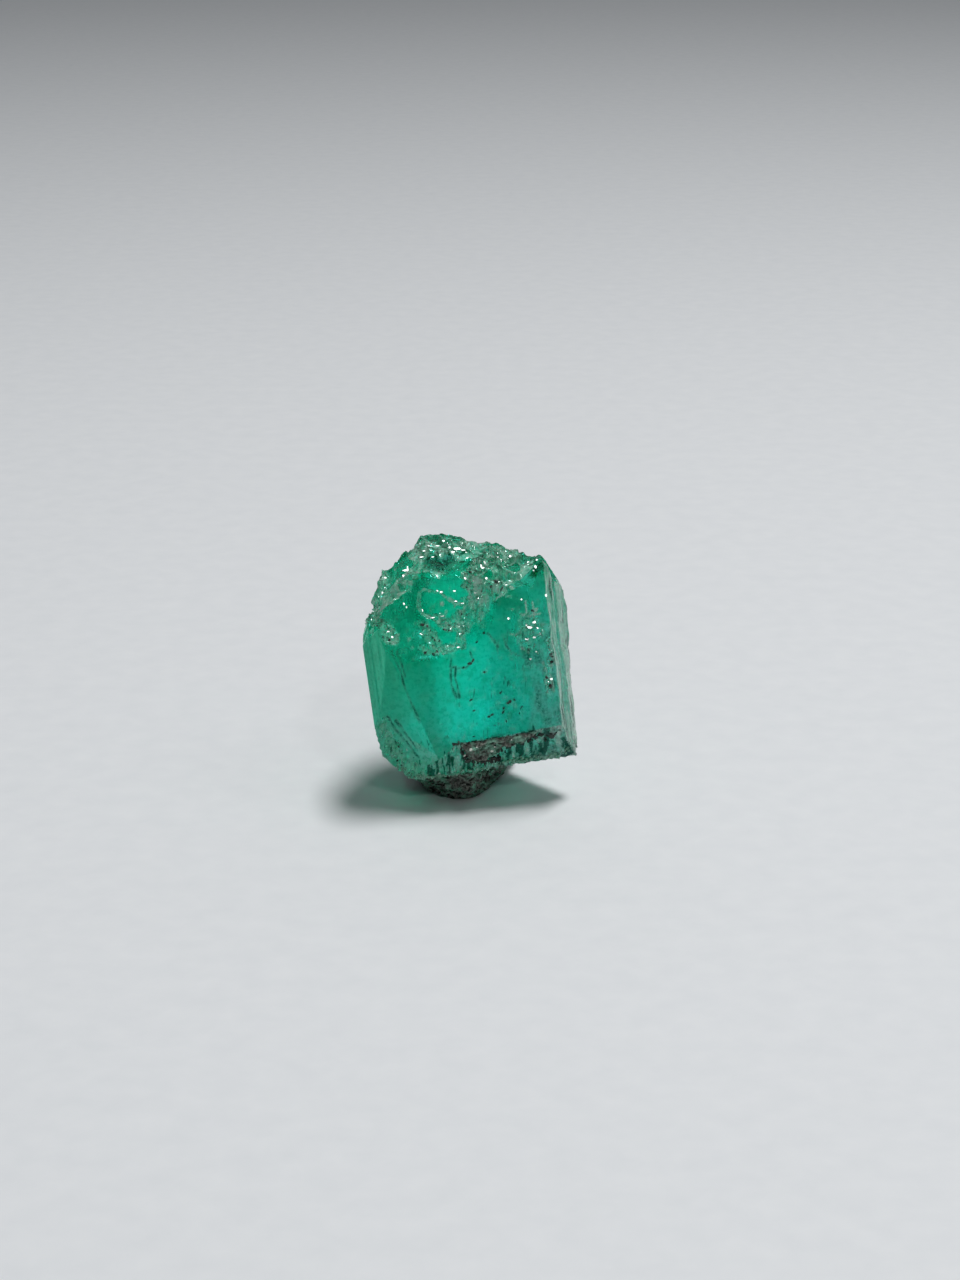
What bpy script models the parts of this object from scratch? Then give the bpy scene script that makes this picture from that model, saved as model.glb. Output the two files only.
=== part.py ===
"""Raw emerald crystal: a broken stub of a six-sided beryl prism, on a lump of its dark host rock.

The crystal is modelled in its own frame, with +Z along its long growth axis, +X to the right along
its widest face and +Y away from that face. It is then turned, leaned and set on the rock foot.
"""

import math

import bmesh
import bpy
import numpy as np
from mathutils import Matrix, Vector

MM = 0.001

# The prism's cross-section has six corners of 120 degrees. These are the sides that set it.
FRONT_SIDE = 6.05 * MM
RIGHT_SIDE = 2.0 * MM
LEFT_SIDE = 1.5 * MM
PRISM_DEPTH = 6.0 * MM
# The back-right side leans in towards the base by this much for each millimetre of length.
BACK_RIGHT_TAPER = 0.11
# The prism is made longer than the crystal, because both ends are broken off.
BLANK_HALF_LENGTH = 5.2 * MM
# Growth ledges run the whole length of each side: how many, and how deep the deepest is.
LEDGES = ((4, 0.03), (5, 0.09), (5, 0.08), (4, 0.07), (6, 0.08), (3, 0.06))
LEDGE_RAMP = 0.03 * MM

# How the crystal stands: it is turned about its long axis, and its top leans to the left.
TURN = math.radians(10.0)
LEAN = math.radians(7.1)
CRYSTAL_CENTRE = Vector((-0.44, 0.0, 5.61)) * MM

# The broken top, seen from in front: across the crystal, and height over its centre, in mm.
CREST = (
    (-3.62, 1.30),
    (-3.46, 1.75),
    (-3.10, 2.50),
    (-2.47, 3.14),
    (-1.95, 3.50),
    (-1.39, 3.80),
    (-0.60, 3.94),
    (0.60, 3.92),
    (1.60, 3.74),
    (2.35, 3.42),
    (3.00, 3.32),
    (3.50, 3.34),
    (3.92, 2.84),
    (4.16, 2.00),
    (4.30, 1.10),
)
CREST_DEPTH = 0.3 * MM
CREST_FALL_FRONT = 0.2
CREST_FALL_BACK = 0.5

# Where the crest falls away to the back right, by three points of the slope in mm.
BACK_RIGHT_SLOPE = ((2.76, -0.18, 3.32), (3.44, -1.22, 3.0), (2.84, 1.12, 2.2))
# Lumps that stand on the crest: middle across and back, radius and height in mm.
LUMPS = (
    ((-0.20, 0.35), 1.15, 0.28),
    ((2.92, -2.55), 0.62, 0.70),
    ((2.25, 0.20), 0.60, 0.14),
)

# Shell-shaped breaks, each the bite of a ball: centre and radius in mm.
FRONT_SCOOP = ((-1.35, -4.2, 3.4), 2.92)
BACK_SCOOP = ((-2.2, 3.9, 3.6), 2.4)
RIGHT_SCOOP = ((3.9, 2.7, 2.6), 2.5)

# Chips of the broken top: their spacing, how far each may lie off the crest and how much it tilts.
CHIP_SPACING = 0.74 * MM
CHIP_DROP = 0.17 * MM
CHIP_RISE = 0.08 * MM
CHIP_TILT = 0.28
CHIP_SEED = 11
SCOOP_ROUGHNESS = 0.18
DICE_STEP = 0.25 * MM

# Flat cuts of the lower half, each by three points on it in mm.
LEFT_EDGE_CUT = ((-3.02, -3.0, 1.35), (-2.16, -3.0, -1.68), (-3.58, -2.004, -1.7))
LEFT_CORNER_CUT = ((-3.5, -2.17, -1.3), (-2.2, -2.75, -2.75), (-2.52, -2.12, -3.98))
LEFT_UNDERCUT = ((-2.77, -3.0, -4.25), (-2.77, 3.0, -4.25), (-3.5, 0.0, -3.45))
BASE_CUT = ((-2.0, 0.0, -4.24), (2.2, 0.0, -4.38), (-2.0, 3.0, -4.2))

# The slanting face at the lower front: where it leaves the front face and where it meets the base.
BEVEL_TOP = (-3.0, -2.75)
BEVEL_FOOT = (-2.04, -4.4)
# It ends at the left against a spur of the front face, along this line: across, and height.
SPUR_TOP = (-0.85, -2.70)
SPUR_FOOT = (-1.89, -3.41)

# The rock foot: its outline where it rests, seen from above, going round in mm.
FOOT_OUTLINE = (
    (-0.95, -1.40),
    (-0.30, -1.55),
    (0.10, -1.40),
    (0.50, -0.80),
    (0.85, 0.10),
    (1.20, 1.00),
    (1.30, 1.75),
    (0.50, 2.20),
    (-0.70, 2.20),
    (-1.60, 1.50),
    (-1.90, 0.40),
    (-1.65, -0.45),
)
FOOT_STEPS_PER_SIDE = 4
FOOT_FLARE = 0.62 * MM
FOOT_ROUGHNESS = 0.16 * MM
FOOT_RINGS = 6
# Room left between two pieces that touch.
SEAM = 0.04 * MM

# The rock crumb on the slanting face: across the face, and down it from its upper border, in mm.
CRUST_OUTLINE = (
    (-0.78, 0.10),
    (0.10, 0.06),
    (1.10, 0.08),
    (2.02, 0.10),
    (1.90, 0.30),
    (1.30, 0.42),
    (0.80, 0.50),
    (0.62, 0.84),
    (0.28, 1.08),
    (-0.20, 1.12),
    (-0.56, 0.92),
    (-0.66, 0.50),
)
CRUST_STEPS_PER_SIDE = 3
CRUST_THICKNESS = 0.20 * MM


def clear_scene():
    for obj in list(bpy.data.objects):
        bpy.data.objects.remove(obj, do_unlink=True)


def make_material(name, colour, roughness, transmission=0.0, ior=1.5):
    material = bpy.data.materials.new(name)
    material.use_nodes = True
    shader = material.node_tree.nodes["Principled BSDF"]
    shader.inputs["Base Color"].default_value = (*colour, 1.0)
    shader.inputs["Roughness"].default_value = roughness
    shader.inputs["Metallic"].default_value = 0.0
    shader.inputs["Transmission Weight"].default_value = transmission
    shader.inputs["IOR"].default_value = ior
    return material


def mesh_object(name, bm):
    """Puts a finished bmesh into a new object, with its faces turned outwards."""
    bmesh.ops.recalc_face_normals(bm, faces=bm.faces[:])
    mesh = bpy.data.meshes.new(name)
    bm.to_mesh(mesh)
    bm.free()
    obj = bpy.data.objects.new(name, mesh)
    bpy.context.scene.collection.objects.link(obj)
    return obj


def in_metres(points):
    return [Vector(point) * MM for point in points]


def plane_through(points, outside):
    """The point and unit normal of the plane through three points, its normal towards outside."""
    a, b, c = in_metres(points)
    normal = (b - a).cross(c - a).normalized()
    if normal.dot(outside) < 0.0:
        normal = -normal
    return a, normal


def cut_away(bm, point, normal):
    """Removes what lies on the normal's side of a plane, and closes the cut with a flat face."""
    cut = bmesh.ops.bisect_plane(
        bm,
        geom=bm.verts[:] + bm.edges[:] + bm.faces[:],
        dist=1e-9,
        plane_co=point,
        plane_no=normal,
        clear_outer=True,
    )
    rim = [item for item in cut["geom_cut"] if isinstance(item, bmesh.types.BMEdge)]
    bmesh.ops.holes_fill(bm, edges=rim, sides=0)


def side_lengths(level):
    """The six sides of the cross-section at a height, from the front side round to the right."""
    slant = PRISM_DEPTH / math.sin(math.radians(60.0))
    taper = BACK_RIGHT_TAPER * (BLANK_HALF_LENGTH * 0.5 - level)
    back_left = slant - LEFT_SIDE
    back = FRONT_SIDE + RIGHT_SIDE - back_left
    return (
        FRONT_SIDE,
        RIGHT_SIDE - taper,
        slant - RIGHT_SIDE + taper,
        back - taper,
        back_left,
        LEFT_SIDE,
    )


def prism_outline(level):
    """The cross-section at a height: six sides at 60-degree turns, each dropped into flat ledges."""
    rng = np.random.default_rng(CHIP_SEED)
    corner = Vector((-FRONT_SIDE / 2.0, -PRISM_DEPTH / 2.0))
    points = []
    for index, length in enumerate(side_lengths(level)):
        heading = math.radians(60.0 * index)
        along = Vector((math.cos(heading), math.sin(heading)))
        inward = Vector((-along.y, along.x))
        count, deepest = LEDGES[index]
        edges = np.linspace(0.0, 1.0, count + 1)
        edges[1:-1] += rng.uniform(-0.3, 0.3, count - 1) / count
        depths = rng.uniform(0.0, deepest, count) * MM
        depths[0] = 0.0
        depths[-1] = 0.0
        points.append(corner)
        for ledge in range(1, count):
            start = edges[ledge] * length
            points.append(corner + along * start + inward * depths[ledge - 1])
            points.append(corner + along * (start + LEDGE_RAMP) + inward * depths[ledge])
        corner = corner + along * length
    return points


def prism_blank():
    """The whole prism before it breaks: two cross-sections joined by flat strips."""
    bm = bmesh.new()
    rings = []
    for level in (-BLANK_HALF_LENGTH, BLANK_HALF_LENGTH):
        rings.append([bm.verts.new((*point, level)) for point in prism_outline(level)])
    count = len(rings[0])
    for here in range(count):
        after = (here + 1) % count
        bm.faces.new((rings[0][here], rings[0][after], rings[1][after], rings[1][here]))
    bm.faces.new(rings[0][::-1])
    bm.faces.new(rings[1])
    return mesh_object("prism_blank", bm)


def from_view(across, depth, height):
    """A point of the crystal's frame from how far across, back and up it is seen from in front."""
    return Vector(
        (
            across * math.cos(TURN) + depth * math.sin(TURN),
            -across * math.sin(TURN) + depth * math.cos(TURN),
            height,
        )
    )


def crest_block():
    """The crest's outline drawn from front to back, falling away on both sides of its ridge."""
    reach = 5.0 * MM
    floor = -6.0 * MM
    outline = [(across * MM, height * MM) for across, height in CREST]
    first, last = outline[0], outline[-1]
    outline = [(-reach, floor), (-reach, first[1])] + outline + [(reach, last[1]), (reach, floor)]
    bm = bmesh.new()
    rings = []
    for depth in (-reach, CREST_DEPTH, reach):
        fall = CREST_FALL_FRONT if depth < CREST_DEPTH else CREST_FALL_BACK
        drop = fall * abs(depth - CREST_DEPTH)
        rings.append([bm.verts.new(from_view(a, depth, h - drop)) for a, h in outline])
    for near, far in zip(rings, rings[1:]):
        count = len(near)
        for here in range(count):
            after = (here + 1) % count
            bm.faces.new((near[here], near[after], far[after], far[here]))
    bm.faces.new(rings[0][::-1])
    bm.faces.new(rings[-1])
    return mesh_object("crest_block", bm)


def scoop_ball(name, centre, radius):
    bm = bmesh.new()
    place = Matrix.Translation(Vector(centre) * MM)
    bmesh.ops.create_icosphere(bm, subdivisions=5, radius=radius * MM, matrix=place)
    return mesh_object(name, bm)


def bevel_plane():
    """A point on the slanting face's upper border, and the face's outward normal."""
    point = Vector((0.0, BEVEL_TOP[0], BEVEL_TOP[1])) * MM
    down = Vector((0.0, BEVEL_FOOT[0] - BEVEL_TOP[0], BEVEL_FOOT[1] - BEVEL_TOP[1])).normalized()
    return point, down.cross(Vector((1.0, 0.0, 0.0))).normalized()


def bevel_wedge():
    """What the slanting face removes: below its plane, and to the right of the spur."""
    bm = bmesh.new()
    bmesh.ops.create_cube(bm, size=20.0 * MM)
    point, normal = bevel_plane()
    cut_away(bm, point, -normal)
    border = Vector((SPUR_TOP[0] - SPUR_FOOT[0], 0.0, SPUR_TOP[1] - SPUR_FOOT[1])).normalized()
    spur = Vector((SPUR_TOP[0], 0.0, SPUR_TOP[1])) * MM
    cut_away(bm, spur, Vector((-border.z, 0.0, border.x)))
    return mesh_object("bevel_wedge", bm)


def combine(base, cutter, operation):
    """Applies one exact Boolean to base, and removes the cutter."""
    modifier = base.modifiers.new(operation.lower(), "BOOLEAN")
    modifier.operation = operation
    modifier.solver = "EXACT"
    modifier.object = cutter
    graph = bpy.context.evaluated_depsgraph_get()
    result = bpy.data.meshes.new_from_object(base.evaluated_get(graph))
    base.modifiers.remove(modifier)
    base.data = result
    bpy.data.objects.remove(cutter, do_unlink=True)


def chip_field():
    """Seeded chips over the cross-section: where each lies, how far it is off, and how it tilts."""
    rng = np.random.default_rng(CHIP_SEED)
    half = 4.6 * MM
    steps = np.arange(-half, half, CHIP_SPACING)
    across, back = np.meshgrid(steps, steps, indexing="ij")
    places = np.stack([across.ravel(), back.ravel()], axis=1)
    places += rng.uniform(-0.45, 0.45, places.shape) * CHIP_SPACING
    offsets = rng.uniform(-CHIP_DROP, CHIP_RISE, len(places))
    tilts = rng.uniform(-CHIP_TILT, CHIP_TILT, places.shape)
    return places, offsets, tilts


def chip_height(points):
    """How far the broken top stands off its smooth form: each point lies on its nearest chip."""
    places, offsets, tilts = chip_field()
    gaps = points[:, None, :2] - places[None, :, :]
    nearest = np.argmin((gaps**2).sum(axis=2), axis=1)
    rows = np.arange(len(points))
    return offsets[nearest] + (gaps[rows, nearest] * tilts[nearest]).sum(axis=1)


def lump_height(points):
    """Flat-topped lumps: full height out to half of the radius, then a smooth fall to nothing."""
    total = np.zeros(len(points))
    for place, radius, height in LUMPS:
        gap = np.linalg.norm(points[:, :2] / MM - np.array(place), axis=1) / radius
        fall = np.clip(2.0 * (1.0 - gap), 0.0, 1.0)
        total += height * MM * fall * fall * (3.0 - 2.0 * fall)
    return total


def on_prism_side(face):
    """True for a face of the six sides, which all run along the growth axis."""
    return abs(face.normal.z) < 0.13 and face_to_side(face) < 0.16 * MM


def face_to_side(face):
    """How deep the middle of a face lies under the nearest side of the prism."""
    centre = face.calc_center_median()
    corner = Vector((-FRONT_SIDE / 2.0, -PRISM_DEPTH / 2.0))
    depths = []
    for index, length in enumerate(side_lengths(centre.z)):
        heading = math.radians(60.0 * index)
        along = Vector((math.cos(heading), math.sin(heading)))
        depths.append(Vector((-along.y, along.x)).dot(centre.xy - corner))
        corner = corner + along * length
    return abs(min(depths))


def in_scoop(point):
    for centre, radius in (FRONT_SCOOP, BACK_SCOOP, RIGHT_SCOOP):
        if abs((point - Vector(centre) * MM).length - radius * MM) < 0.03 * MM:
            return True
    return False


def dice(bm, faces):
    """Cuts the given faces into cells of the dicing step, along all three axes."""
    marked = {face.index for face in faces}
    layer = bm.faces.layers.int.new("diced")
    for face in bm.faces:
        face[layer] = int(face.index in marked)
    for axis in range(3):
        normal = Vector((0.0, 0.0, 0.0))
        normal[axis] = 1.0
        for place in np.arange(-4.5 * MM, 4.5 * MM, DICE_STEP):
            chosen = [face for face in bm.faces if face[layer]]
            edges = {edge for face in chosen for edge in face.edges}
            verts = {vert for face in chosen for vert in face.verts}
            bmesh.ops.bisect_plane(
                bm,
                geom=list(verts) + list(edges) + chosen,
                dist=0.02 * MM,
                plane_co=normal * place,
                plane_no=normal,
            )


def roughen_break(bm):
    """Moves the points of the broken top up or down onto their chips."""
    layer = bm.faces.layers.int["diced"]
    verts = [v for v in bm.verts if any(face[layer] for face in v.link_faces)]
    points = np.array([v.co[:] for v in verts])
    chips = chip_height(points)
    lumps = lump_height(points)
    for vert, chip, lump in zip(verts, chips, lumps):
        if in_scoop(vert.co):
            vert.co.z += float(chip) * SCOOP_ROUGHNESS
        else:
            vert.co.z += float(chip + lump)


def emerald_crystal():
    body = prism_blank()
    combine(body, crest_block(), "INTERSECT")
    combine(body, scoop_ball("front_scoop", *FRONT_SCOOP), "DIFFERENCE")
    combine(body, scoop_ball("back_scoop", *BACK_SCOOP), "DIFFERENCE")
    combine(body, scoop_ball("right_scoop", *RIGHT_SCOOP), "DIFFERENCE")
    combine(body, bevel_wedge(), "DIFFERENCE")
    bm = bmesh.new()
    bm.from_mesh(body.data)
    left_front = Vector((-1.0, -1.0, 0.0))
    down = Vector((0.0, 0.0, -1.0))
    cut_away(bm, *plane_through(BASE_CUT, down))
    cut_away(bm, *plane_through(LEFT_UNDERCUT, down))
    cut_away(bm, *plane_through(BACK_RIGHT_SLOPE, -down))
    cut_away(bm, *plane_through(LEFT_EDGE_CUT, left_front))
    cut_away(bm, *plane_through(LEFT_CORNER_CUT, left_front))
    bm.faces.index_update()
    broken = [f for f in bm.faces if f.calc_center_median().z > 0.3 * MM and not on_prism_side(f)]
    dice(bm, broken)
    roughen_break(bm)
    bmesh.ops.triangulate(bm, faces=bm.faces[:])
    bpy.data.objects.remove(body, do_unlink=True)
    crystal = mesh_object("emerald_crystal", bm)
    crystal.rotation_mode = "ZYX"
    crystal.rotation_euler = (0.0, -LEAN, TURN)
    crystal.location = CRYSTAL_CENTRE
    return crystal


def crystal_to_world():
    turn = Matrix.Rotation(TURN, 4, "Z")
    lean = Matrix.Rotation(-LEAN, 4, "Y")
    return Matrix.Translation(CRYSTAL_CENTRE) @ lean @ turn


def smooth_ring(outline, steps):
    """Points along a closed outline, each side cut into equal steps and its corners rounded."""
    corners = in_metres([(*point, 0.0) for point in outline])
    points = []
    for index, corner in enumerate(corners):
        before = corners[index - 1]
        after = corners[(index + 1) % len(corners)]
        beyond = corners[(index + 2) % len(corners)]
        for step in range(steps):
            t = step / steps
            pull = (after - before) * 0.5
            push = (beyond - corner) * 0.5
            a = 2.0 * t**3 - 3.0 * t**2 + 1.0
            b = t**3 - 2.0 * t**2 + t
            c = -2.0 * t**3 + 3.0 * t**2
            d = t**3 - t**2
            points.append(corner * a + pull * b + after * c + push * d)
    return points


def rough_wave(angle, level, phase):
    """A lumpy wave round a ring, between -1 and 1, which changes from ring to ring."""
    coarse = math.sin(5.0 * angle + phase + 2.1 * level)
    middle = math.sin(9.0 * angle - 1.7 * phase + 5.3 * level)
    fine = math.sin(17.0 * angle + 2.9 * phase - 8.0 * level)
    return 0.5 * coarse + 0.3 * middle + 0.2 * fine


def matrix_foot():
    """Rings of a rough lump, from the flat face that it rests on up to the crystal's base."""
    point, normal = plane_through(BASE_CUT, Vector((0.0, 0.0, -1.0)))
    place = crystal_to_world()
    base_point = place @ point
    base_normal = place.to_3x3() @ normal
    ring = smooth_ring(FOOT_OUTLINE, FOOT_STEPS_PER_SIDE)
    middle = sum(ring, Vector()) / len(ring)
    bm = bmesh.new()
    rings = []
    for level in range(FOOT_RINGS + 1):
        share = level / FOOT_RINGS
        verts = []
        for corner in ring:
            out = (corner - middle).normalized()
            angle = math.atan2(out.y, out.x)
            rough = 0.0 if level == 0 else rough_wave(angle, share, 1.3) * FOOT_ROUGHNESS
            spread = FOOT_FLARE * math.sin(share * math.pi / 2.0) + rough
            spot = corner + out * spread
            over = (base_point - spot).dot(base_normal) / base_normal.z
            verts.append(bm.verts.new((spot.x, spot.y, (over - SEAM) * share)))
        rings.append(verts)
    count = len(ring)
    for low, high in zip(rings, rings[1:]):
        for here in range(count):
            after = (here + 1) % count
            bm.faces.new((low[here], low[after], high[after], high[here]))
    bm.faces.new(rings[0][::-1])
    bm.faces.new(rings[-1])
    return mesh_object("matrix_foot", bm)


def matrix_crust():
    """A thin crumb laid on the slanting face, its rim bevelled off and its top domed."""
    point, normal = bevel_plane()
    across = Vector((1.0, 0.0, 0.0))
    down = normal.cross(across).normalized()
    if down.z > 0.0:
        down = -down
    ring = smooth_ring(CRUST_OUTLINE, CRUST_STEPS_PER_SIDE)
    middle = sum(ring, Vector()) / len(ring)
    bm = bmesh.new()
    rings = []
    for inset, lift in ((0.0, 0.0), (0.10, 0.6), (0.45, 0.95)):
        verts = []
        for corner in ring:
            spot = corner.lerp(middle, inset)
            angle = math.atan2(corner.y - middle.y, corner.x - middle.x)
            height = SEAM + CRUST_THICKNESS * lift * (1.0 + 0.25 * rough_wave(angle, lift, 0.4))
            if lift == 0.0:
                height = SEAM
            verts.append(bm.verts.new(point + across * spot.x + down * spot.y + normal * height))
        rings.append(verts)
    top = bm.verts.new(point + across * middle.x + down * middle.y + normal * (SEAM + CRUST_THICKNESS))
    count = len(ring)
    for low, high in zip(rings, rings[1:]):
        for here in range(count):
            after = (here + 1) % count
            bm.faces.new((low[here], low[after], high[after], high[here]))
    for here in range(count):
        bm.faces.new((rings[-1][here], rings[-1][(here + 1) % count], top))
    bm.faces.new(rings[0][::-1])
    crust = mesh_object("matrix_crust", bm)
    crust.rotation_mode = "ZYX"
    crust.rotation_euler = (0.0, -LEAN, TURN)
    crust.location = CRYSTAL_CENTRE
    return crust


def main():
    clear_scene()
    emerald = make_material("emerald", (0.01, 0.42, 0.25), 0.12, transmission=0.9, ior=1.58)
    rock = make_material("black_shale", (0.055, 0.05, 0.045), 0.85)
    emerald_crystal().data.materials.append(emerald)
    matrix_foot().data.materials.append(rock)
    matrix_crust().data.materials.append(rock)


main()
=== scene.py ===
"""Raw emerald crystal: fine shape and finish of emerald and host rock, with light and camera."""

import functools
import itertools
import math

import bpy
import numpy as np
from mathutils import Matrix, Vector


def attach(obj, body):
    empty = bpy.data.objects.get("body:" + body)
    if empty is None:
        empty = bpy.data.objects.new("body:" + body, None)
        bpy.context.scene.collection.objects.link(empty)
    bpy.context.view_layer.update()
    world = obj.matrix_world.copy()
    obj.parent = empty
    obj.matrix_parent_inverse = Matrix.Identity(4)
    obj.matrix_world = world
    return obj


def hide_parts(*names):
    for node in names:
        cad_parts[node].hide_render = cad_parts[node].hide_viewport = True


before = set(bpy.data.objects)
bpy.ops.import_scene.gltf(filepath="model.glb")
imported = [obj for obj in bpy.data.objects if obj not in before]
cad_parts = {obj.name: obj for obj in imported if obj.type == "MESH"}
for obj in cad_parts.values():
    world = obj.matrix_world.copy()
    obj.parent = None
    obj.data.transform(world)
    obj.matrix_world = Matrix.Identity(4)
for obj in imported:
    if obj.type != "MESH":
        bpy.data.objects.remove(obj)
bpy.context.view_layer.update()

MM = 0.001

# --- Where the stone is seen and lit from ---

CAMERA_RISE = math.radians(19)
CAMERA_DISTANCE = 0.1006
CAMERA_LENS = 75
# The point that the camera is aimed at, in mm, and the way from the stone to the camera.
CAMERA_AIM = np.array((0.34, 0.345, 5.71))
TO_VIEWER = np.array((0, -math.cos(CAMERA_RISE), math.sin(CAMERA_RISE)))
# The middle of the overhead softbox, in metres.
SOFTBOX_PLACE = (0.06, 0, 0.3)

# --- The crystal's own frame, in millimetres ---
# +Z along its growth axis, +X right along its widest face, +Y away from that face. These are the
# same driving dimensions as in the part's source.

TURN = math.radians(10)
LEAN = math.radians(7.1)
CENTRE = np.array((-0.44, 0, 5.61))

FRONT_SIDE = 6.05
RIGHT_SIDE = 2
LEFT_SIDE = 1.5
PRISM_DEPTH = 6
BACK_RIGHT_TAPER = 0.11
TAPER_FROM = 2.6
LEDGES = ((4, 0.03), (5, 0.09), (5, 0.08), (4, 0.07), (6, 0.08), (3, 0.06))
LEDGE_RAMP = 0.03
CREST = (
    (-3.62, 1.3), (-3.46, 1.75), (-3.1, 2.5), (-2.47, 3.14), (-1.95, 3.5), (-1.39, 3.8),
    (-0.6, 3.94), (0.6, 3.92), (1.6, 3.74), (2.35, 3.42), (3, 3.32), (3.5, 3.34), (3.92, 2.84),
    (4.16, 2), (4.3, 1.1),
)
CREST_DEPTH = 0.3
CREST_FALL_FRONT = 0.2
CREST_FALL_BACK = 0.5
BACK_RIGHT_SLOPE = ((2.76, -0.18, 3.32), (3.44, -1.22, 3), (2.84, 1.12, 2.2))
LUMPS = (((-0.2, 0.35), 1.15, 0.28), ((2.92, -2.55), 0.62, 0.7), ((2.25, 0.2), 0.6, 0.14))
# The front scoop is a little shallower than the coarse one, so that its lip turns less sharply.
FRONT_SCOOP = ((-1.35, -5.92, 3.4), 4)
BACK_SCOOP = ((-2.2, 3.9, 3.6), 2.4)
RIGHT_SCOOP = ((3.9, 2.7, 2.6), 2.5)
CHIP_SPACING = 0.74
CHIP_DROP = 0.17
CHIP_RISE = 0.08
CHIP_TILT = 0.28
CHIP_SEED = 11
SCOOP_CHIPS = 0.1
LEFT_EDGE_CUT = ((-3.02, -3, 1.35), (-2.16, -3, -1.68), (-3.58, -2.004, -1.7))
LEFT_CORNER_CUT = ((-3.5, -2.17, -1.3), (-2.2, -2.75, -2.75), (-2.52, -2.12, -3.98))
LEFT_UNDERCUT = ((-2.77, -3, -4.25), (-2.77, 3, -4.25), (-3.5, 0, -3.45))
BASE_CUT = ((-2, 0, -4.24), (2.2, 0, -4.38), (-2, 3, -4.2))
BEVEL_TOP = (-3, -2.75)
BEVEL_FOOT = (-2.04, -4.4)
SPUR_TOP = (-0.85, -2.7)
SPUR_FOOT = (-1.89, -3.41)

FOOT_OUTLINE = (
    (-0.95, -1.4), (-0.3, -1.55), (0.1, -1.4), (0.5, -0.8), (0.85, 0.1), (1.2, 1), (1.3, 1.75),
    (0.5, 2.2), (-0.7, 2.2), (-1.6, 1.5), (-1.9, 0.4), (-1.65, -0.45),
)
FOOT_FLARE = 0.62
FOOT_ROUGHNESS = 0.16
CRUST_OUTLINE = (
    (-0.78, 0.1), (0.1, 0.06), (1.1, 0.08), (2.02, 0.1), (1.9, 0.3), (1.3, 0.42), (0.8, 0.5),
    (0.62, 0.84), (0.28, 1.08), (-0.2, 1.12), (-0.56, 0.92), (-0.66, 0.5),
)
CRUST_THICKNESS = 0.2

# --- Arrays and meshes ---


def unit(vectors):
    """One vector, or each of many, at length 1."""
    vectors = np.asarray(vectors, dtype=float)
    return vectors / np.linalg.norm(vectors, axis=-1, keepdims=True)


TURN_COS, TURN_SIN = math.cos(TURN), math.sin(TURN)
LEAN_COS, LEAN_SIN = math.cos(LEAN), math.sin(LEAN)
TURNED = np.array(((TURN_COS, -TURN_SIN, 0), (TURN_SIN, TURN_COS, 0), (0, 0, 1)))
LEANED = np.array(((LEAN_COS, 0, -LEAN_SIN), (0, 1, 0), (LEAN_SIN, 0, LEAN_COS)))
ACROSS = np.array((1, 0, 0))
# Down the slanting face at the lower front, and straight out of it.
BEVEL_DOWN = unit((0, BEVEL_FOOT[0] - BEVEL_TOP[0], BEVEL_FOOT[1] - BEVEL_TOP[1]))
BEVEL_OUT = np.cross(BEVEL_DOWN, ACROSS)


def to_world(points):
    """Crystal frame in mm to world metres: turned about Z, leaned about Y, then moved."""
    return (points @ (LEANED @ TURNED).T + CENTRE) * MM


def view_axes(points):
    """How far across and how far back each point lies, as the crystal is seen from in front."""
    x, y = points[:, 0], points[:, 1]
    return x * TURN_COS - y * TURN_SIN, x * TURN_SIN + y * TURN_COS


def from_view(across, back, height):
    """The point of the crystal's frame at a place across, back and up as seen from in front."""
    x = across * TURN_COS + back * TURN_SIN
    y = back * TURN_COS - across * TURN_SIN
    return np.stack((x, y, height), axis=-1)


def ease(low, high, values):
    """From 0 at low to 1 at high, as 3 t squared less 2 t cubed."""
    share = np.clip((values - low) / (high - low), 0, 1)
    return share * share * (3 - 2 * share)


def scatter(cells, seed):
    """A repeatable random number from 0 to 1 for each row of whole numbers."""
    mixed = cells[..., 0] * 73856093 ^ cells[..., 1] * 19349663 ^ cells[..., 2] * 83492791
    mixed = (mixed + seed * 668265263) & 0x7FFFFFFF
    mixed = ((mixed ^ (mixed >> 13)) * 1274126177) & 0x7FFFFFFF
    mixed = ((mixed ^ (mixed >> 15)) * 461845907) & 0x7FFFFFFF
    return ((mixed ^ (mixed >> 16)) & 0xFFFF) / 65535


def scatter_three(cells, seed):
    """Three repeatable random numbers from 0 to 1 for each row of whole numbers."""
    return np.stack([scatter(cells, seed + axis) for axis in range(3)], axis=1)


def soft_noise(points, cell, seed):
    """Values from -1 to 1: random numbers on a cubic lattice, blended smoothly between corners."""
    place = points / cell
    base = np.floor(place).astype(np.int64)
    blend = ease(0, 1, place - base)
    total = np.zeros(len(points))
    for corner in itertools.product((0, 1), repeat=3):
        weight = np.prod(np.where(corner, blend, 1 - blend), axis=1)
        total += weight * scatter(base + np.array(corner), seed)
    return 2 * total - 1


def rough_noise(points, cell, seed, octaves=4):
    """Soft noise summed over octaves, each half the size and half the height of the last."""
    heights = 0.5 ** np.arange(octaves)
    layers = [soft_noise(points, cell * 0.5**step, seed + step) for step in range(octaves)]
    return heights @ layers / heights.sum()


def drawn_out(points, share):
    """The points at a share of their height, which draws a pattern out along the growth axis."""
    return points * np.array((1, 1, share))


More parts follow.
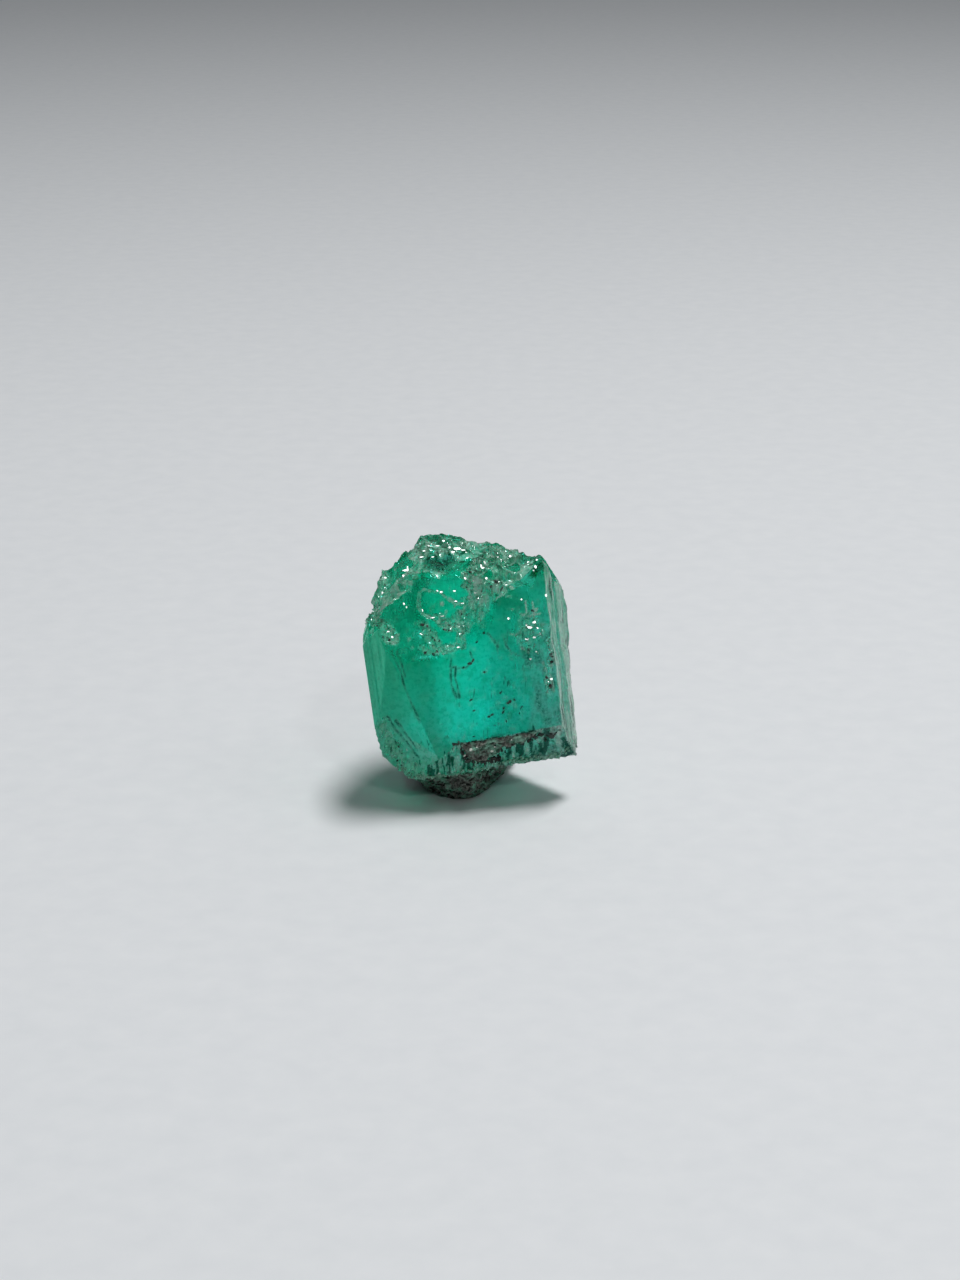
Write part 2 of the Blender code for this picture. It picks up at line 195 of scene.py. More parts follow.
def nearest_seeds(points, cell, seed, axes=3):
    """For each point, the lattice cell of the nearest jittered seed and the gap to it, in cells."""
    used = np.arange(3) < axes
    place = points / cell * used
    base = np.floor(place).astype(np.int64)
    best = np.full(len(points), 1e9)
    best_cell, best_gap = base, place
    for step in itertools.product((-1, 0, 1), repeat=axes):
        cells = base + np.array(step + (0,) * (3 - axes))
        gap = (place - cells - scatter_three(cells, seed)) * used
        far = (gap**2).sum(axis=1)
        closer = (far < best)[:, None]
        best = np.minimum(far, best)
        best_cell = np.where(closer, cells, best_cell)
        best_gap = np.where(closer, gap, best_gap)
    return best_cell, best_gap


def splinters(points, cell, seed, tilt=1, axes=3):
    """Flat tilted flakes: each point lies on the plane of its nearest jittered lattice seed."""
    cells, gap = nearest_seeds(points, cell, seed, axes)
    lean = scatter_three(cells, seed + 3) - 0.5
    return scatter(cells, seed + 6) - 0.5 + tilt * (gap * lean).sum(axis=1)


def shells(points, cell, seed, axes=3):
    """Shallow bowls with sharp ridges between them: the squared gap to the nearest seed."""
    return (nearest_seeds(points, cell, seed, axes)[1] ** 2).sum(axis=1) - 0.25


def new_mesh(name, points, faces):
    mesh = bpy.data.meshes.new(name)
    mesh.from_pydata(points.reshape(-1, 3).tolist(), [], faces)
    obj = bpy.data.objects.new(name, mesh)
    bpy.context.scene.collection.objects.link(obj)
    return obj


def ring_faces(rows, columns):
    """Quads between rings of points, and triangles to one point under them and one over them."""
    here = np.arange(columns)
    after = (here + 1) % columns
    up = np.arange(rows - 1)[:, None] * columns
    quads = np.stack((up + here, up + after, up + columns + after, up + columns + here), axis=-1)
    top, count = (rows - 1) * columns, rows * columns
    low = np.stack((after, here, count + 0 * here), axis=-1)
    high = np.stack((top + here, top + after, count + 1 + 0 * here), axis=-1)
    return quads.reshape(-1, 4), np.vstack((low, high))


def ring_mesh(name, rings, sharp_degrees, low_cap=None):
    """A closed skin over rings of points from low to high, ending in a single point at each end."""
    low_cap = rings[0].mean(axis=0) if low_cap is None else low_cap
    points = np.vstack((rings.reshape(-1, 3), low_cap, rings[-1].mean(axis=0)))
    quads, ends = ring_faces(*rings.shape[:2])
    obj = new_mesh(name, points, quads.tolist() + ends.tolist())
    shade(obj, sharp_degrees)
    return obj


def shade(obj, sharp_degrees):
    """Smooth shading that breaks at edges sharper than the given angle."""
    obj.data.shade_smooth()
    obj.data.set_sharp_from_angle(angle=math.radians(sharp_degrees))


# --- The emerald's form ---


def side_lengths(level):
    """The six sides of the cross-section at each height, from the front side round to the right."""
    slant = PRISM_DEPTH / math.sin(math.radians(60))
    taper = BACK_RIGHT_TAPER * (TAPER_FROM - level)
    right = RIGHT_SIDE - taper
    back_left = slant - LEFT_SIDE
    back = FRONT_SIDE + right - back_left
    return np.broadcast_arrays(FRONT_SIDE, right, slant - right, back, back_left, LEFT_SIDE)


def sides_at(level):
    """Each side's corner, heading and length at each height."""
    corner = np.array((-FRONT_SIDE / 2, -PRISM_DEPTH / 2))
    sides = []
    for index, length in enumerate(side_lengths(level)):
        heading = math.radians(60 * index)
        along = np.array((math.cos(heading), math.sin(heading)))
        sides.append((corner, along, length))
        corner = corner + along * length[..., None]
    return sides


def ledge_profiles():
    """For each side, its seeded flat ledges: places along it from 0 to 1, and depths in mm."""
    rng = np.random.default_rng(CHIP_SEED)
    profiles = []
    for (count, deepest), length in zip(LEDGES, side_lengths(0)):
        edges = np.linspace(0, 1, count + 1)
        edges[1:-1] += rng.uniform(-0.3, 0.3, count - 1) / count
        depths = rng.uniform(0, deepest, count)
        depths[[0, -1]] = 0
        places = np.stack((edges[1:-1], edges[1:-1] + LEDGE_RAMP / length), axis=1).ravel()
        profiles.append((places, np.repeat(depths, 2)[1:-1]))
    return profiles


LEDGE_PROFILES = ledge_profiles()


def depth_under_plane(points, three, outside):
    """How deep each point lies under the plane through three points, whose normal faces outside."""
    a, b, c = np.array(three)
    normal = unit(np.cross(b - a, c - a))
    return (a - points) @ normal * np.sign(normal @ outside)


def coarse_chips(points):
    """The break's large chips, the same as in the part's source: each point lies on its nearest."""
    rng = np.random.default_rng(CHIP_SEED)
    steps = np.arange(-4.6, 4.6, CHIP_SPACING)
    places = np.stack(np.meshgrid(steps, steps, indexing="ij"), axis=-1).reshape(-1, 2)
    places += rng.uniform(-0.45, 0.45, places.shape) * CHIP_SPACING
    offsets = rng.uniform(-CHIP_DROP, CHIP_RISE, len(places))
    tilts = rng.uniform(-CHIP_TILT, CHIP_TILT, places.shape)
    nearest = np.zeros(len(points), dtype=int)
    best = np.full(len(points), 1e9)
    for index, place in enumerate(places):
        far = ((points[:, :2] - place) ** 2).sum(axis=1)
        nearest = np.where(far < best, index, nearest)
        best = np.minimum(far, best)
    gaps = points[:, :2] - places[nearest]
    return offsets[nearest] + (gaps * tilts[nearest]).sum(axis=1)


def lumps(points):
    """Flat-topped lumps: full height out to half of the radius, then a smooth fall to nothing."""
    total = 0
    for place, radius, height in LUMPS:
        gap = np.linalg.norm(points[:, :2] - np.array(place), axis=1) / radius
        total = total + height * ease(0, 1, 2 * (1 - gap))
    return total


MAP_HALF = 4.6
MAP_STEP = 0.02
CHIP_SOFTENING = 2
# Small rises and dips of the skyline that the coarse form leaves out: across, and height in mm.
CREST_TOUCHES = (
    (-3.1, 0.1), (-2.65, 0.22), (-2.45, 0.12), (-2.33, -0.2), (-2.12, -0.24), (-1.95, -0.04),
    (-1.5, 0.08), (-1.1, 0.18), (-0.9, 0.32), (-0.7, 0.24), (-0.4, 0.14), (-0.05, 0.02),
    (0.3, -0.08), (1.2, 0.05), (1.5, 0.1), (2.1, -0.08), (3.2, -0.14), (3.8, 0.12),
)
CREST_TOUCH_REACH = 1.6


def softened(table, times):
    """The table with each value averaged with its four neighbours, a number of times."""
    for _ in range(times):
        around = [np.roll(table, step, axis) for step in (1, -1) for axis in (0, 1)]
        table = (table + sum(around)) / 5
    return table


def break_maps():
    """Heights of the broken top, and of its large chips alone, on a fine grid over the prism."""
    steps = np.arange(-MAP_HALF, MAP_HALF + MAP_STEP, MAP_STEP)
    shape = (len(steps), len(steps))
    grid = np.meshgrid(steps, steps, indexing="ij")
    points = np.stack((*grid, np.zeros(shape)), axis=-1).reshape(-1, 3)
    across, back = view_axes(points)
    behind = np.abs(back - CREST_DEPTH)
    fall = np.where(back < CREST_DEPTH, CREST_FALL_FRONT, CREST_FALL_BACK)
    crest = np.interp(across, *np.transpose(CREST)) - fall * behind
    touch = np.interp(across, *np.transpose(CREST_TOUCHES))
    crest += touch * ease(CREST_TOUCH_REACH, 0.5, behind)
    a, b, c = np.array(BACK_RIGHT_SLOPE)
    normal = np.cross(b - a, c - a)
    slope = a[2] - ((points - a)[:, :2] @ normal[:2]) / normal[2]
    chips = softened(coarse_chips(points).reshape(shape), CHIP_SOFTENING)
    fine = 0.1 * shells(points, 0.8, 21, 2) + 0.1 * splinters(points, 0.48, 31, 1.8, 2)
    fine += 0.022 * splinters(points, 0.17, 41, 2, 2)
    return (np.minimum(crest, slope) + lumps(points) + fine).reshape(shape) + chips, chips


TOP_MAP, CHIP_MAP = break_maps()


def read_map(table, points):
    """The map's value under each point, blended between its four nearest grid points."""
    place = np.clip((points[:, :2] + MAP_HALF) / MAP_STEP, 0, len(table) - 1.001)
    i, j = place.astype(int).T
    s, t = (place % 1).T
    low = table[i, j] * (1 - s) + table[i + 1, j] * s
    high = table[i, j + 1] * (1 - s) + table[i + 1, j + 1] * s
    return low * (1 - t) + high * t


# The order of the faces in face_depths.
SIDES = tuple(range(6))
RIGHT = 1
BACKS = (2, 3, 4)
TOP, SCOOP_FRONT, SCOOP_BACK, SCOOP_RIGHT = range(6, 10)
EDGE_CUT, CORNER_CUT, UNDERCUT, BASE, BEVEL = range(10, 15)
DOWN = (0, 0, -1)
LEFT_FRONT = (-1, -1, 0)
CUTS = (
    (LEFT_EDGE_CUT, LEFT_FRONT), (LEFT_CORNER_CUT, LEFT_FRONT), (LEFT_UNDERCUT, DOWN),
    (BASE_CUT, DOWN),
)


def face_depths(points):
    """How deep each point lies under each bounding face: negative where it is outside that face."""
    depths = []
    for (corner, along, length), (places, heights) in zip(sides_at(points[:, 2]), LEDGE_PROFILES):
        offset = points[:, :2] - corner
        ledge = np.interp(offset @ along / length, places, heights)
        depths.append(offset @ (-along[1], along[0]) - (ledge if depths else 0))
    depths.append(read_map(TOP_MAP, points) - points[:, 2])
    chipped = points - SCOOP_CHIPS * read_map(CHIP_MAP, points)[:, None] * (0, 0, 1)
    for centre, radius in (FRONT_SCOOP, BACK_SCOOP, RIGHT_SCOOP):
        depths.append(np.linalg.norm(chipped - np.array(centre), axis=1) - radius)
    for three, outside in CUTS:
        depths.append(depth_under_plane(points, three, outside))
    bevel = (np.array((0, *BEVEL_TOP)) - points) @ BEVEL_OUT
    border = unit((SPUR_TOP[0] - SPUR_FOOT[0], 0, SPUR_TOP[1] - SPUR_FOOT[1]))
    spur = (points - np.array((SPUR_TOP[0], 0, SPUR_TOP[1]))) @ (-border[2], 0, border[0])
    depths.append(np.maximum(bevel, spur))
    return depths


# Groups of faces whose shared edges are worn round, and how far in mm.
WORN_EDGES = ((BACKS, 0.25), ((0, SCOOP_FRONT), 0.1))


def body_depth(points):
    """The depth under the nearest face, less near the worn edges: a soft least of their faces."""
    depths = face_depths(points)
    least = np.minimum.reduce(depths)
    for faces, wear in WORN_EDGES:
        worn = -wear * np.log(sum(np.exp(-depths[face] / wear) for face in faces))
        least = np.minimum(least, worn)
    return least


COLUMNS_PER_SIDE = (170, 56, 56, 34, 56, 44)
ROWS_BASE = 18
ROWS_SIDE = 138
ROWS_TOP = 78
GRID_END = 4.6


def ray_ends():
    """Where the rays from the middle end: rings up an unbroken prism, closing in over its ends."""
    ring = np.concatenate(
        [
            corner + along * (np.arange(columns) / columns * length)[:, None]
            for (corner, along, length), columns in zip(sides_at(0), COLUMNS_PER_SIDE)
        ]
    )
    low = np.linspace(0.04, 1, ROWS_BASE, endpoint=False)
    high = np.linspace(1, 0.02, ROWS_TOP + 1)[1:]
    shares = np.concatenate((low, np.ones(ROWS_SIDE), high))
    rows_of_side = (ROWS_BASE, ROWS_BASE + ROWS_SIDE - 1)
    levels = np.interp(np.arange(len(shares)), rows_of_side, (-GRID_END, GRID_END))
    flat = ring * shares[:, None, None]
    heights = np.broadcast_to(levels[:, None, None], flat.shape[:2] + (1,))
    return np.concatenate((flat, heights), axis=2)


def meet_faces(ends):
    """Halves each ray again and again to find where it first leaves the body, and at which face."""
    flat = ends.reshape(-1, 3)
    near = np.full(len(flat), 0.05)
    far = np.full(len(flat), 1.25)
    for _ in range(20):
        middle = (near + far) / 2
        inside = body_depth(flat * middle[:, None]) > 0
        near = np.where(inside, middle, near)
        far = np.where(inside, far, middle)
    points = flat * near[:, None]
    return points, np.argmin(face_depths(points), axis=0)


def line_distance(spots, line):
    """Distance from each spot, across and up as seen from in front, to a broken line of points."""
    best = np.full(len(spots), 1e9)
    for start, end in itertools.pairwise(np.array(line)):
        reach = end - start
        share = np.clip((spots - start) @ reach / (reach @ reach), 0, 1)
        best = np.minimum(best, np.linalg.norm(spots - start - share[:, None] * reach, axis=1))
    return best


# Places on the front as seen from in front and a little above: across and up, in mm.
RIDGE = (
    (2.3, 3.05), (1.68, 3.1), (1.22, 2.8), (0.95, 2.33), (1.07, 1.93), (0.97, 1.56), (0.71, 1.2),
    (0.33, 0.86),
)
RIDGE_SIDE = ((1.1, 2.25), (1.55, 2.2), (1.9, 2))
RIDGE_FOOT = ((1.45, 2.1), (1.4, 1.6), (1.05, 1.2))
KNOB = ((-1, 3.6), (-0.6, 3.85), (0, 3.85), (0.6, 3.55))
KNOB_LEDGE = ((-1.1, 3.42), (-0.75, 3.46), (-0.35, 3.4))
# Painted shade: a darker, less pale patch under the knob.
SHADED_HOLLOW = ((-0.55, 3.2), (-0.25, 3.02), (0.05, 3.15))
LOW_PATCH = ((-0.44, 1.01), (-0.13, 0.72), (0.33, 0.86))
LOW_PATCH_LEFT = ((-1.06, 0.86), (-0.82, 0.5), (-0.64, 0.03))
SHELF = ((-0.7, 0.1), (-0.45, -0.06), (-0.2, -0.07), (0.25, 0.04), (0.2, 0.27))
RIGHT_BRUISE = ((2.72, 0.2), (2.85, 0.55), (3.12, 0.2), (2.6, -0.05))
RIGHT_EDGE_CHIPS = ((3.44, -0.2), (3.42, -0.85), (3.2, -1.5), (3.18, -2.2))
LEFT_RUBBLE = ((-3, 1.4), (-2.74, 1.27), (-2.4, 0.9), (-2.22, 0.55))
LEFT_RUBBLE_TOP = ((-2.95, 1.55), (-2.7, 2.2), (-2.45, 2.75))
LEFT_CORNER = ((-3.05, -2.7), (-2.85, -3.3), (-2.6, -3.92), (-2.29, -4.4))
LIP_RUBBLE = ((-1.3, 0.1), (-1.05, -0.12), (-0.7, -0.12))
WINDOW_RIM = (
    (-1.07, 1.3), (-1.15, 1.65), (-1.09, 2.08), (-0.92, 2.17), (-0.33, 1.99), (0.18, 1.54),
    (0.51, 1.45), (1.08, 1.54),
)
WINDOW_FLOOR = ((-1.07, 1.3), (-0.66, 1.06), (-0.32, 1.1), (-0.19, 1.28))
# Line, half width in mm, depth in mm and how pale.
BRUISES = (
    (KNOB, 0.36, 0.06, 0.85), (KNOB_LEDGE, 0.14, 0.06, 0.8), (RIDGE, 0.46, 0.09, 0.9),
    (RIDGE_SIDE, 0.36, 0.09, 0.8), (RIDGE_FOOT, 0.28, 0.08, 0.5), (LOW_PATCH, 0.26, 0.08, 0.7),
    (LOW_PATCH_LEFT, 0.24, 0.07, 0.5), (SHELF, 0.18, 0.07, 0.6), (RIGHT_BRUISE, 0.4, 0.1, 0.3),
    (RIGHT_EDGE_CHIPS, 0.14, 0.12, 0.5), (LEFT_RUBBLE, 0.3, 0.12, 0.6),
    (LEFT_RUBBLE_TOP, 0.32, 0.05, 0.6), (LEFT_CORNER, 0.32, 0.1, 0.35),
    (LIP_RUBBLE, 0.16, 0.08, 0.3), (WINDOW_RIM, 0.08, 0.04, 0.7), (WINDOW_FLOOR, 0.07, 0.03, 0.6),
)
# Thin pale cracks just under the front.
WISPS = (
    ((3.26, -1.03), (3.32, -1.57), (3.38, -2.08)), ((3.09, -0.97), (3.18, -1.35)),
    ((1.67, 1.52), (1.93, 1.64), (2.24, 1.54)), ((2.74, 1.32), (2.73, 0.92)),
    ((2.98, 1.25), (2.99, 0.72)), ((2.48, 0.88), (2.8, 0.79), (3.21, 0.82)),
    ((2.37, -0.35), (2.63, -0.54)), ((2.05, 0.2), (2.35, 0.1)),
)
WISP_WIDTH = 0.035
WISP_PALENESS = 0.9
GROOVES = (
    ((-2.3, 0.1), (-2.28, -0.06), (-2.09, -0.63), (-2, -1.36), (-1.82, -2), (-1.64, -2.64)),
    ((-2.13, 0.05), (-2.02, -0.35), (-1.93, -0.9)),
    ((-2.85, -2.29), (-2.6, -2.88), (-2.23, -3.43), (-1.91, -3.98)),
    ((-2.55, -2.5), (-2.4, -2.73), (-2.13, -3.21), (-1.92, -3.69)),
    ((-0.21, -0.42), (-0.29, -1.02), (-0.32, -1.4), (-0.19, -1.92)),
    ((-0.07, -0.77), (-0.15, -1.14), (-0.1, -1.6), (-0.08, -1.9)),
    ((-0.28, -0.73), (-0.01, -0.82), (0.27, -0.84), (0.58, -0.63), (0.51, -0.29)),
    ((1.81, 0.05), (1.85, -0.25), (1.99, -0.45), (2.21, -0.62), (2.52, -0.74)),
    ((1.23, 0.32), (1.39, 0.1), (1.53, -0.21)),
)
GROOVE_WIDTH = 0.035
GROOVE_DEPTH = 0.02


def as_seen(points):
    """How far across and how far up each point lies, seen from in front and a little above."""
    across, back = view_axes(points)
    up = points[:, 2] * math.cos(CAMERA_RISE) + back * math.sin(CAMERA_RISE)
    return np.stack((across, up), axis=1)


def place_along(points, which):
    """How far along one of the six sides each point lies, in mm."""
    corner, along, _ = sides_at(points[:, 2])[which]
    return (points[:, :2] - corner) @ along


# Depth of the fine growth lines on each of the six sides, in mm.
GROWTH_LINES = (0.006, 0.06, 0.05, 0.04, 0.04, 0.03)


def growth_lines(points, which):
    """Lines up one side: random steps in depth with narrow ramps between, fading in and out."""
    rng = np.random.default_rng(40 + which)
    place = place_along(points, which) + 0.04 * soft_noise(drawn_out(points, 0.2), 0.5, 45)
    knots = np.repeat(np.cumsum(rng.uniform(0.04, 0.22, 120)), 2)[1:]
    knots[1::2] += 0.012
    steps = np.repeat(rng.uniform(0, 1, 120), 2)[:-1]
    strength = 0.55 + 0.45 * soft_noise(drawn_out(points, 0.35), 0.3, 50 + which)
    return GROWTH_LINES[which] * np.interp(place, knots, steps) * strength


def closeness(points, line, half_width):
    """From 1 along a line, as seen from in front, to 0 beyond its ragged edge."""
    ragged = 0.6 * half_width * rough_noise(points, 0.3, 57, 4)
    return ease(half_width * 1.5, half_width * 0.3, line_distance(as_seen(points), line) + ragged)


def groove_mark(points, width):
    """From 1 in the middle of the grooves down to 0 outside them, broken up along their length."""
    waver = 0.03 * soft_noise(points, 0.4, 58)
    spots = as_seen(points)
    gaps = [(line_distance(spots, line) + waver) ** 2 for line in GROOVES]
    nearest = np.minimum.reduce(gaps)
    return np.exp(-nearest / width**2) * (0.65 + 0.35 * soft_noise(points, 0.22, 59))


FACING = (0, 5, EDGE_CUT, CORNER_CUT, SCOOP_FRONT, TOP)
FLAKE_CELL = 0.26
CRUMB_CELL = 0.13


def bruising(points, which):
    """The greatest of the bruises' depths or palenesses: in cloudy patches, fewer further out."""
    needed = 0.48 + 0.75 * rough_noise(points, 0.4, 67, 5)
    most = np.zeros(len(points))
    for bruise in BRUISES:
        near = closeness(points, bruise[0], bruise[1])
        most = np.maximum(most, bruise[which] * ease(-0.15, 0.35, near - needed))
    return most


def relief(points, face):
    """The points cut in towards the middle by growth lines, flakes, grooves and steps."""
    depth = sum(growth_lines(points, which) * (face == which) for which in SIDES)
    # The right side stands a little proud, with shallow shell-shaped dents down its outer edge.
    depth += (face == RIGHT) * (0.13 * shells(points, 0.75, 63) - 0.06)
    depth += np.isin(face, BACKS) * (0.16 * shells(points, 0.85, 65) + 0.08)
    flakes = 0.4 + 1.2 * splinters(points, FLAKE_CELL, 61, 2.2)
    flakes += 0.8 * splinters(points, CRUMB_CELL, 71, 2)
    grooves = GROOVE_DEPTH * groove_mark(points, GROOVE_WIDTH)
    depth += np.isin(face, FACING) * (bruising(points, 2) * flakes + grooves)
    strands = points * np.array((1, 0.15, 0.15))
    steps = 0.06 + 0.15 * rough_noise(strands, 0.17, 81, 3) + 0.09 * splinters(points, 0.3, 85, 1.8)
    depth += (face == BEVEL) * steps
    for cut, deep in ((UNDERCUT, 0.09), (CORNER_CUT, 0.05), (EDGE_CUT, 0.014), (BASE, 0.07)):
        depth += (face == cut) * deep * (0.5 + splinters(points, 0.28, 91 + cut, 1.5))
    low_edge = ease(-3.55, -3.95, points[:, 2]) * (face != BASE)
    depth += 0.07 * low_edge * (0.3 + splinters(points, 0.22, 87, 2))
    return points - unit(points) * depth[:, None]


# For each face, in the order of face_depths.
FROST_BY_FACE = (
    0.5, 0.75, 0.95, 0.95, 0.95, 0.6, 0.6, 0.35, 0.45, 0.5, 0.62, 0.7, 0.8, 0.9, 0.85,
)
PALE_BY_FACE = (
    0, 0.55, 0.06, 0.03, 0.06, 0.08, 0.35, 0, 0.15, 0.2, 0.08, 0.14, 0.2, 0.1, 0.3,
)
# Etched stripes up the right side, their paleness partly a painted reflection of the paper: place
# along the side in mm, and how pale.
RIGHT_STRIPES = (
    (0, 0.9), (0.2, 0.95), (0.26, 0.3), (0.34, 0.25), (0.42, 0.9), (0.72, 0.85), (0.8, 0.35),
    (0.92, 0.3), (1.02, 0.9), (1.42, 1), (1.52, 0.5), (1.75, 0.45), (1.9, 0.8), (2.4, 0.7),
)


def right_stripes(points):
    """How pale the right side is: a profile along the side, wavering up it, paler lower down.

    The paleness is partly a painted reflection of the paper.
    """
    waver = 0.1 * soft_noise(points * np.array((0.3, 0.3, 1)), 1.1, 46)
    stripes = np.interp(place_along(points, RIGHT) + waver, *np.transpose(RIGHT_STRIPES))
    return stripes * (0.7 + 0.3 * ease(3.5, -3, points[:, 2]))


def finish_of(points, face):
    """How frosted, pale, dark green and dirty the surface is at each point, from 0 to 1: the dark
    green is stains and painted shade, and some of the pale is painted glint and reflection.
    """
    spots = as_seen(points)
    across, up = spots.T
    front = np.isin(face, (0, SCOOP_FRONT))
    facing = np.isin(face, FACING)
    broken = np.isin(face, (TOP, SCOOP_BACK, SCOOP_RIGHT))
    bevel = face == BEVEL
    frost = np.array(FROST_BY_FACE)[face]
    pale = np.array(PALE_BY_FACE)[face]
    # On the break each flake has its own finish, from glassy green to bruised and pale.
    large, _ = nearest_seeds(points + 0.12 * soft_noise(points, 0.3, 132)[:, None], 0.75, 131)
    small, _ = nearest_seeds(points, CRUMB_CELL, 71)
    crumb = scatter(small, 77)
    bruised = ease(0.35, 0.65, scatter(large, 137))
    frost = np.where(broken, 0.1 + 0.45 * bruised, frost)
    pale = np.where(broken, 0.02 + 0.8 * bruised, pale)
    pale = np.where(face == RIGHT, right_stripes(points), pale)
    # The lower left of the front is etched, and its flat face a little more towards the foot.
    low_left = front * ease(1.2, -2.4, across + 0.3 * up + 1.2) * ease(-0.2, -2.2, up)
    frost = np.maximum(frost, 0.5 * low_left) + 0.1 * (face == 0) * ease(0.5, -2.2, up)
    pale = np.maximum(pale, 0.1 * low_left)
    bruise = bruising(points, 3) * facing
    frost = np.where(bruise > 0.1, 0.45, frost)
    # Painted shade under the knob: less pale, and darker green.
    hollow_shade = closeness(points, SHADED_HOLLOW, 0.3) * facing
    pale = np.maximum(pale, bruise) * (1 - 0.9 * hollow_shade)
    crushed = np.clip(bruise * 1.5 + broken + bevel, 0, 1)
    pale = pale * (1 + crushed * (0.9 * crumb - 0.5))
    # Fine cracks and a fine pale mottling over the front, and tiny flecks over its upper part,
    # which are painted glints.
    wisp = np.minimum.reduce([line_distance(spots, line) for line in WISPS])
    wisps = WISP_PALENESS * front * np.exp(-((wisp / WISP_WIDTH) ** 2))
    mottling = 0.16 * front * ease(0.1, 0.55, rough_noise(points, 0.16, 151, 3))
    glint_flecks = 0.8 * front * ease(-0.5, 1, up) * (scatter(small, 79) < 0.012)
    pale = np.maximum.reduce((pale, wisps, mottling, glint_flecks))
    strand = rough_noise(points * np.array((1, 0.12, 0.12)), 0.11, 81, 2)
    pale = np.where(bevel, 0.02 + 0.6 * ease(0.1, 0.35, strand), pale)
    # Dark lines up the right side, and a deeper, streaky strip down the right of the front, which
    # is painted shade.
    line = rough_noise(drawn_out(points, 0.1), 0.12, 143, 2)
    streak = rough_noise(drawn_out(points, 0.3), 0.25, 141, 4)
    shaded_strip = (face == 0) * ease(2.1, 2.6, across) * ease(1.2, 0, up)
    # Dark green: stains, with painted shade in the strip and under the knob.
    stains_and_shade = (
        groove_mark(points, GROOVE_WIDTH * 1.3) * facing,
        bevel * ease(0, -0.25, strand),
        (face == RIGHT) * 0.65 * ease(-0.2, -0.46, line),
        shaded_strip * (0.36 + 0.6 * streak) * (1 - np.clip(3 * bruise, 0, 1)),
        0.35 * crushed * ease(0.15, 0.05, crumb),
        0.7 * hollow_shade,
    )
    # Rock dirt: over the bevel, most near its top border, in the low left corner and round the rim.
    height = points[:, 2]
    patchy = 0.5 + 0.5 * rough_noise(points, 0.6, 103, 3)
    border = ease(-3.55, -2.9, height) * ease(-1.3, -0.4, across)
    dirt = (
        bevel * (0.35 * patchy * patchy + 0.4 * border),
        0.25 * patchy * np.isin(face, (CORNER_CUT, UNDERCUT)),
        0.6 * patchy * ease(-3.75, -4.15, height),
    )
    values = (frost, pale, np.maximum.reduce(stains_and_shade), np.maximum.reduce(dirt))
    return [np.clip(value, 0, 1) for value in values]


def emerald_body():
    """One grid of rays round the growth axis and from base to top, each ended at a first face."""
    ends = ray_ends()
    points, face = meet_faces(ends)
    body = ring_mesh("emerald_body", to_world(relief(points, face)).reshape(ends.shape), 24)
    finish = [np.append(values, (values[0], values[-1])) for values in finish_of(points, face)]
    attribute = body.data.attributes.new("finish", "FLOAT_COLOR", "POINT")
    attribute.data.foreach_set("color", np.stack(finish, axis=1).ravel().astype(np.float32))
    return body


# --- The host rock's form ---


def smooth_ring(outline, count):
    """A closed curve through the outline's corners: cubic stretches with shared slopes."""
    corners = np.array(outline)
    place = np.arange(count) / count * len(corners)
    index = place.astype(int)
    t = (place - index)[:, None]
    before, here, after, beyond = (corners[(index + step) % len(corners)] for step in (-1, 0, 1, 2))
    return (
        here * (2 * t**3 - 3 * t**2 + 1)
        + (after - before) * 0.5 * (t**3 - 2 * t**2 + t)
        + after * (3 * t**2 - 2 * t**3)
        + (beyond - here) * 0.5 * (t**3 - t**2)
    )


def base_height(spots):
    """The height of the crystal's base over each place of the floor, in mm."""
    a, b, c = to_world(np.array(BASE_CUT)) / MM
    normal = np.cross(b - a, c - a)
    return a[2] - ((spots - a[:2]) @ normal[:2]) / normal[2]


FOOT_COLUMNS = 260
FOOT_ROWS = 90
# Waves round the foot: height as a share, number of waves round, start and climb in radians.
FOOT_WAVES = ((0.5, 5, 1.3, 2.1), (0.3, 9, -2.21, 5.3), (0.2, 17, 3.77, -8))


def rock_foot():
    """The resting outline carried up to the crystal's base, flaring as a quarter sine, lumpy."""
    ring = smooth_ring(FOOT_OUTLINE, FOOT_COLUMNS)
    out = unit(ring - ring.mean(axis=0))
    angle = np.arctan2(out[:, 1], out[:, 0])
    share = np.linspace(0, 1, FOOT_ROWS)[:, None]
    waves = sum(
        height * np.sin(count * angle + start + climb * share)
        for height, count, start, climb in FOOT_WAVES
    )
    spread = FOOT_FLARE * np.sin(share * math.pi / 2)
    spread = spread + waves * FOOT_ROUGHNESS * np.minimum(share * 6, 1)
    spots = ring + out * spread[..., None]
    rings = np.concatenate((spots, (base_height(spots) * share)[..., None]), axis=2)
    flat = rings.reshape(-1, 3)
    grain = 0.16 * rough_noise(flat, 0.55, 201, 5) + 0.14 * splinters(flat, 0.2, 211, 1.8)
    grain = grain.reshape(spread.shape) * ease(0, 0.06, share) * ease(1, 0.93, share)
    rings[..., :2] += out * (grain - 0.05)[..., None]
    return ring_mesh("rock_foot", rings * MM, 35)


CRUST_COLUMNS = 220
CRUST_ROWS = 40


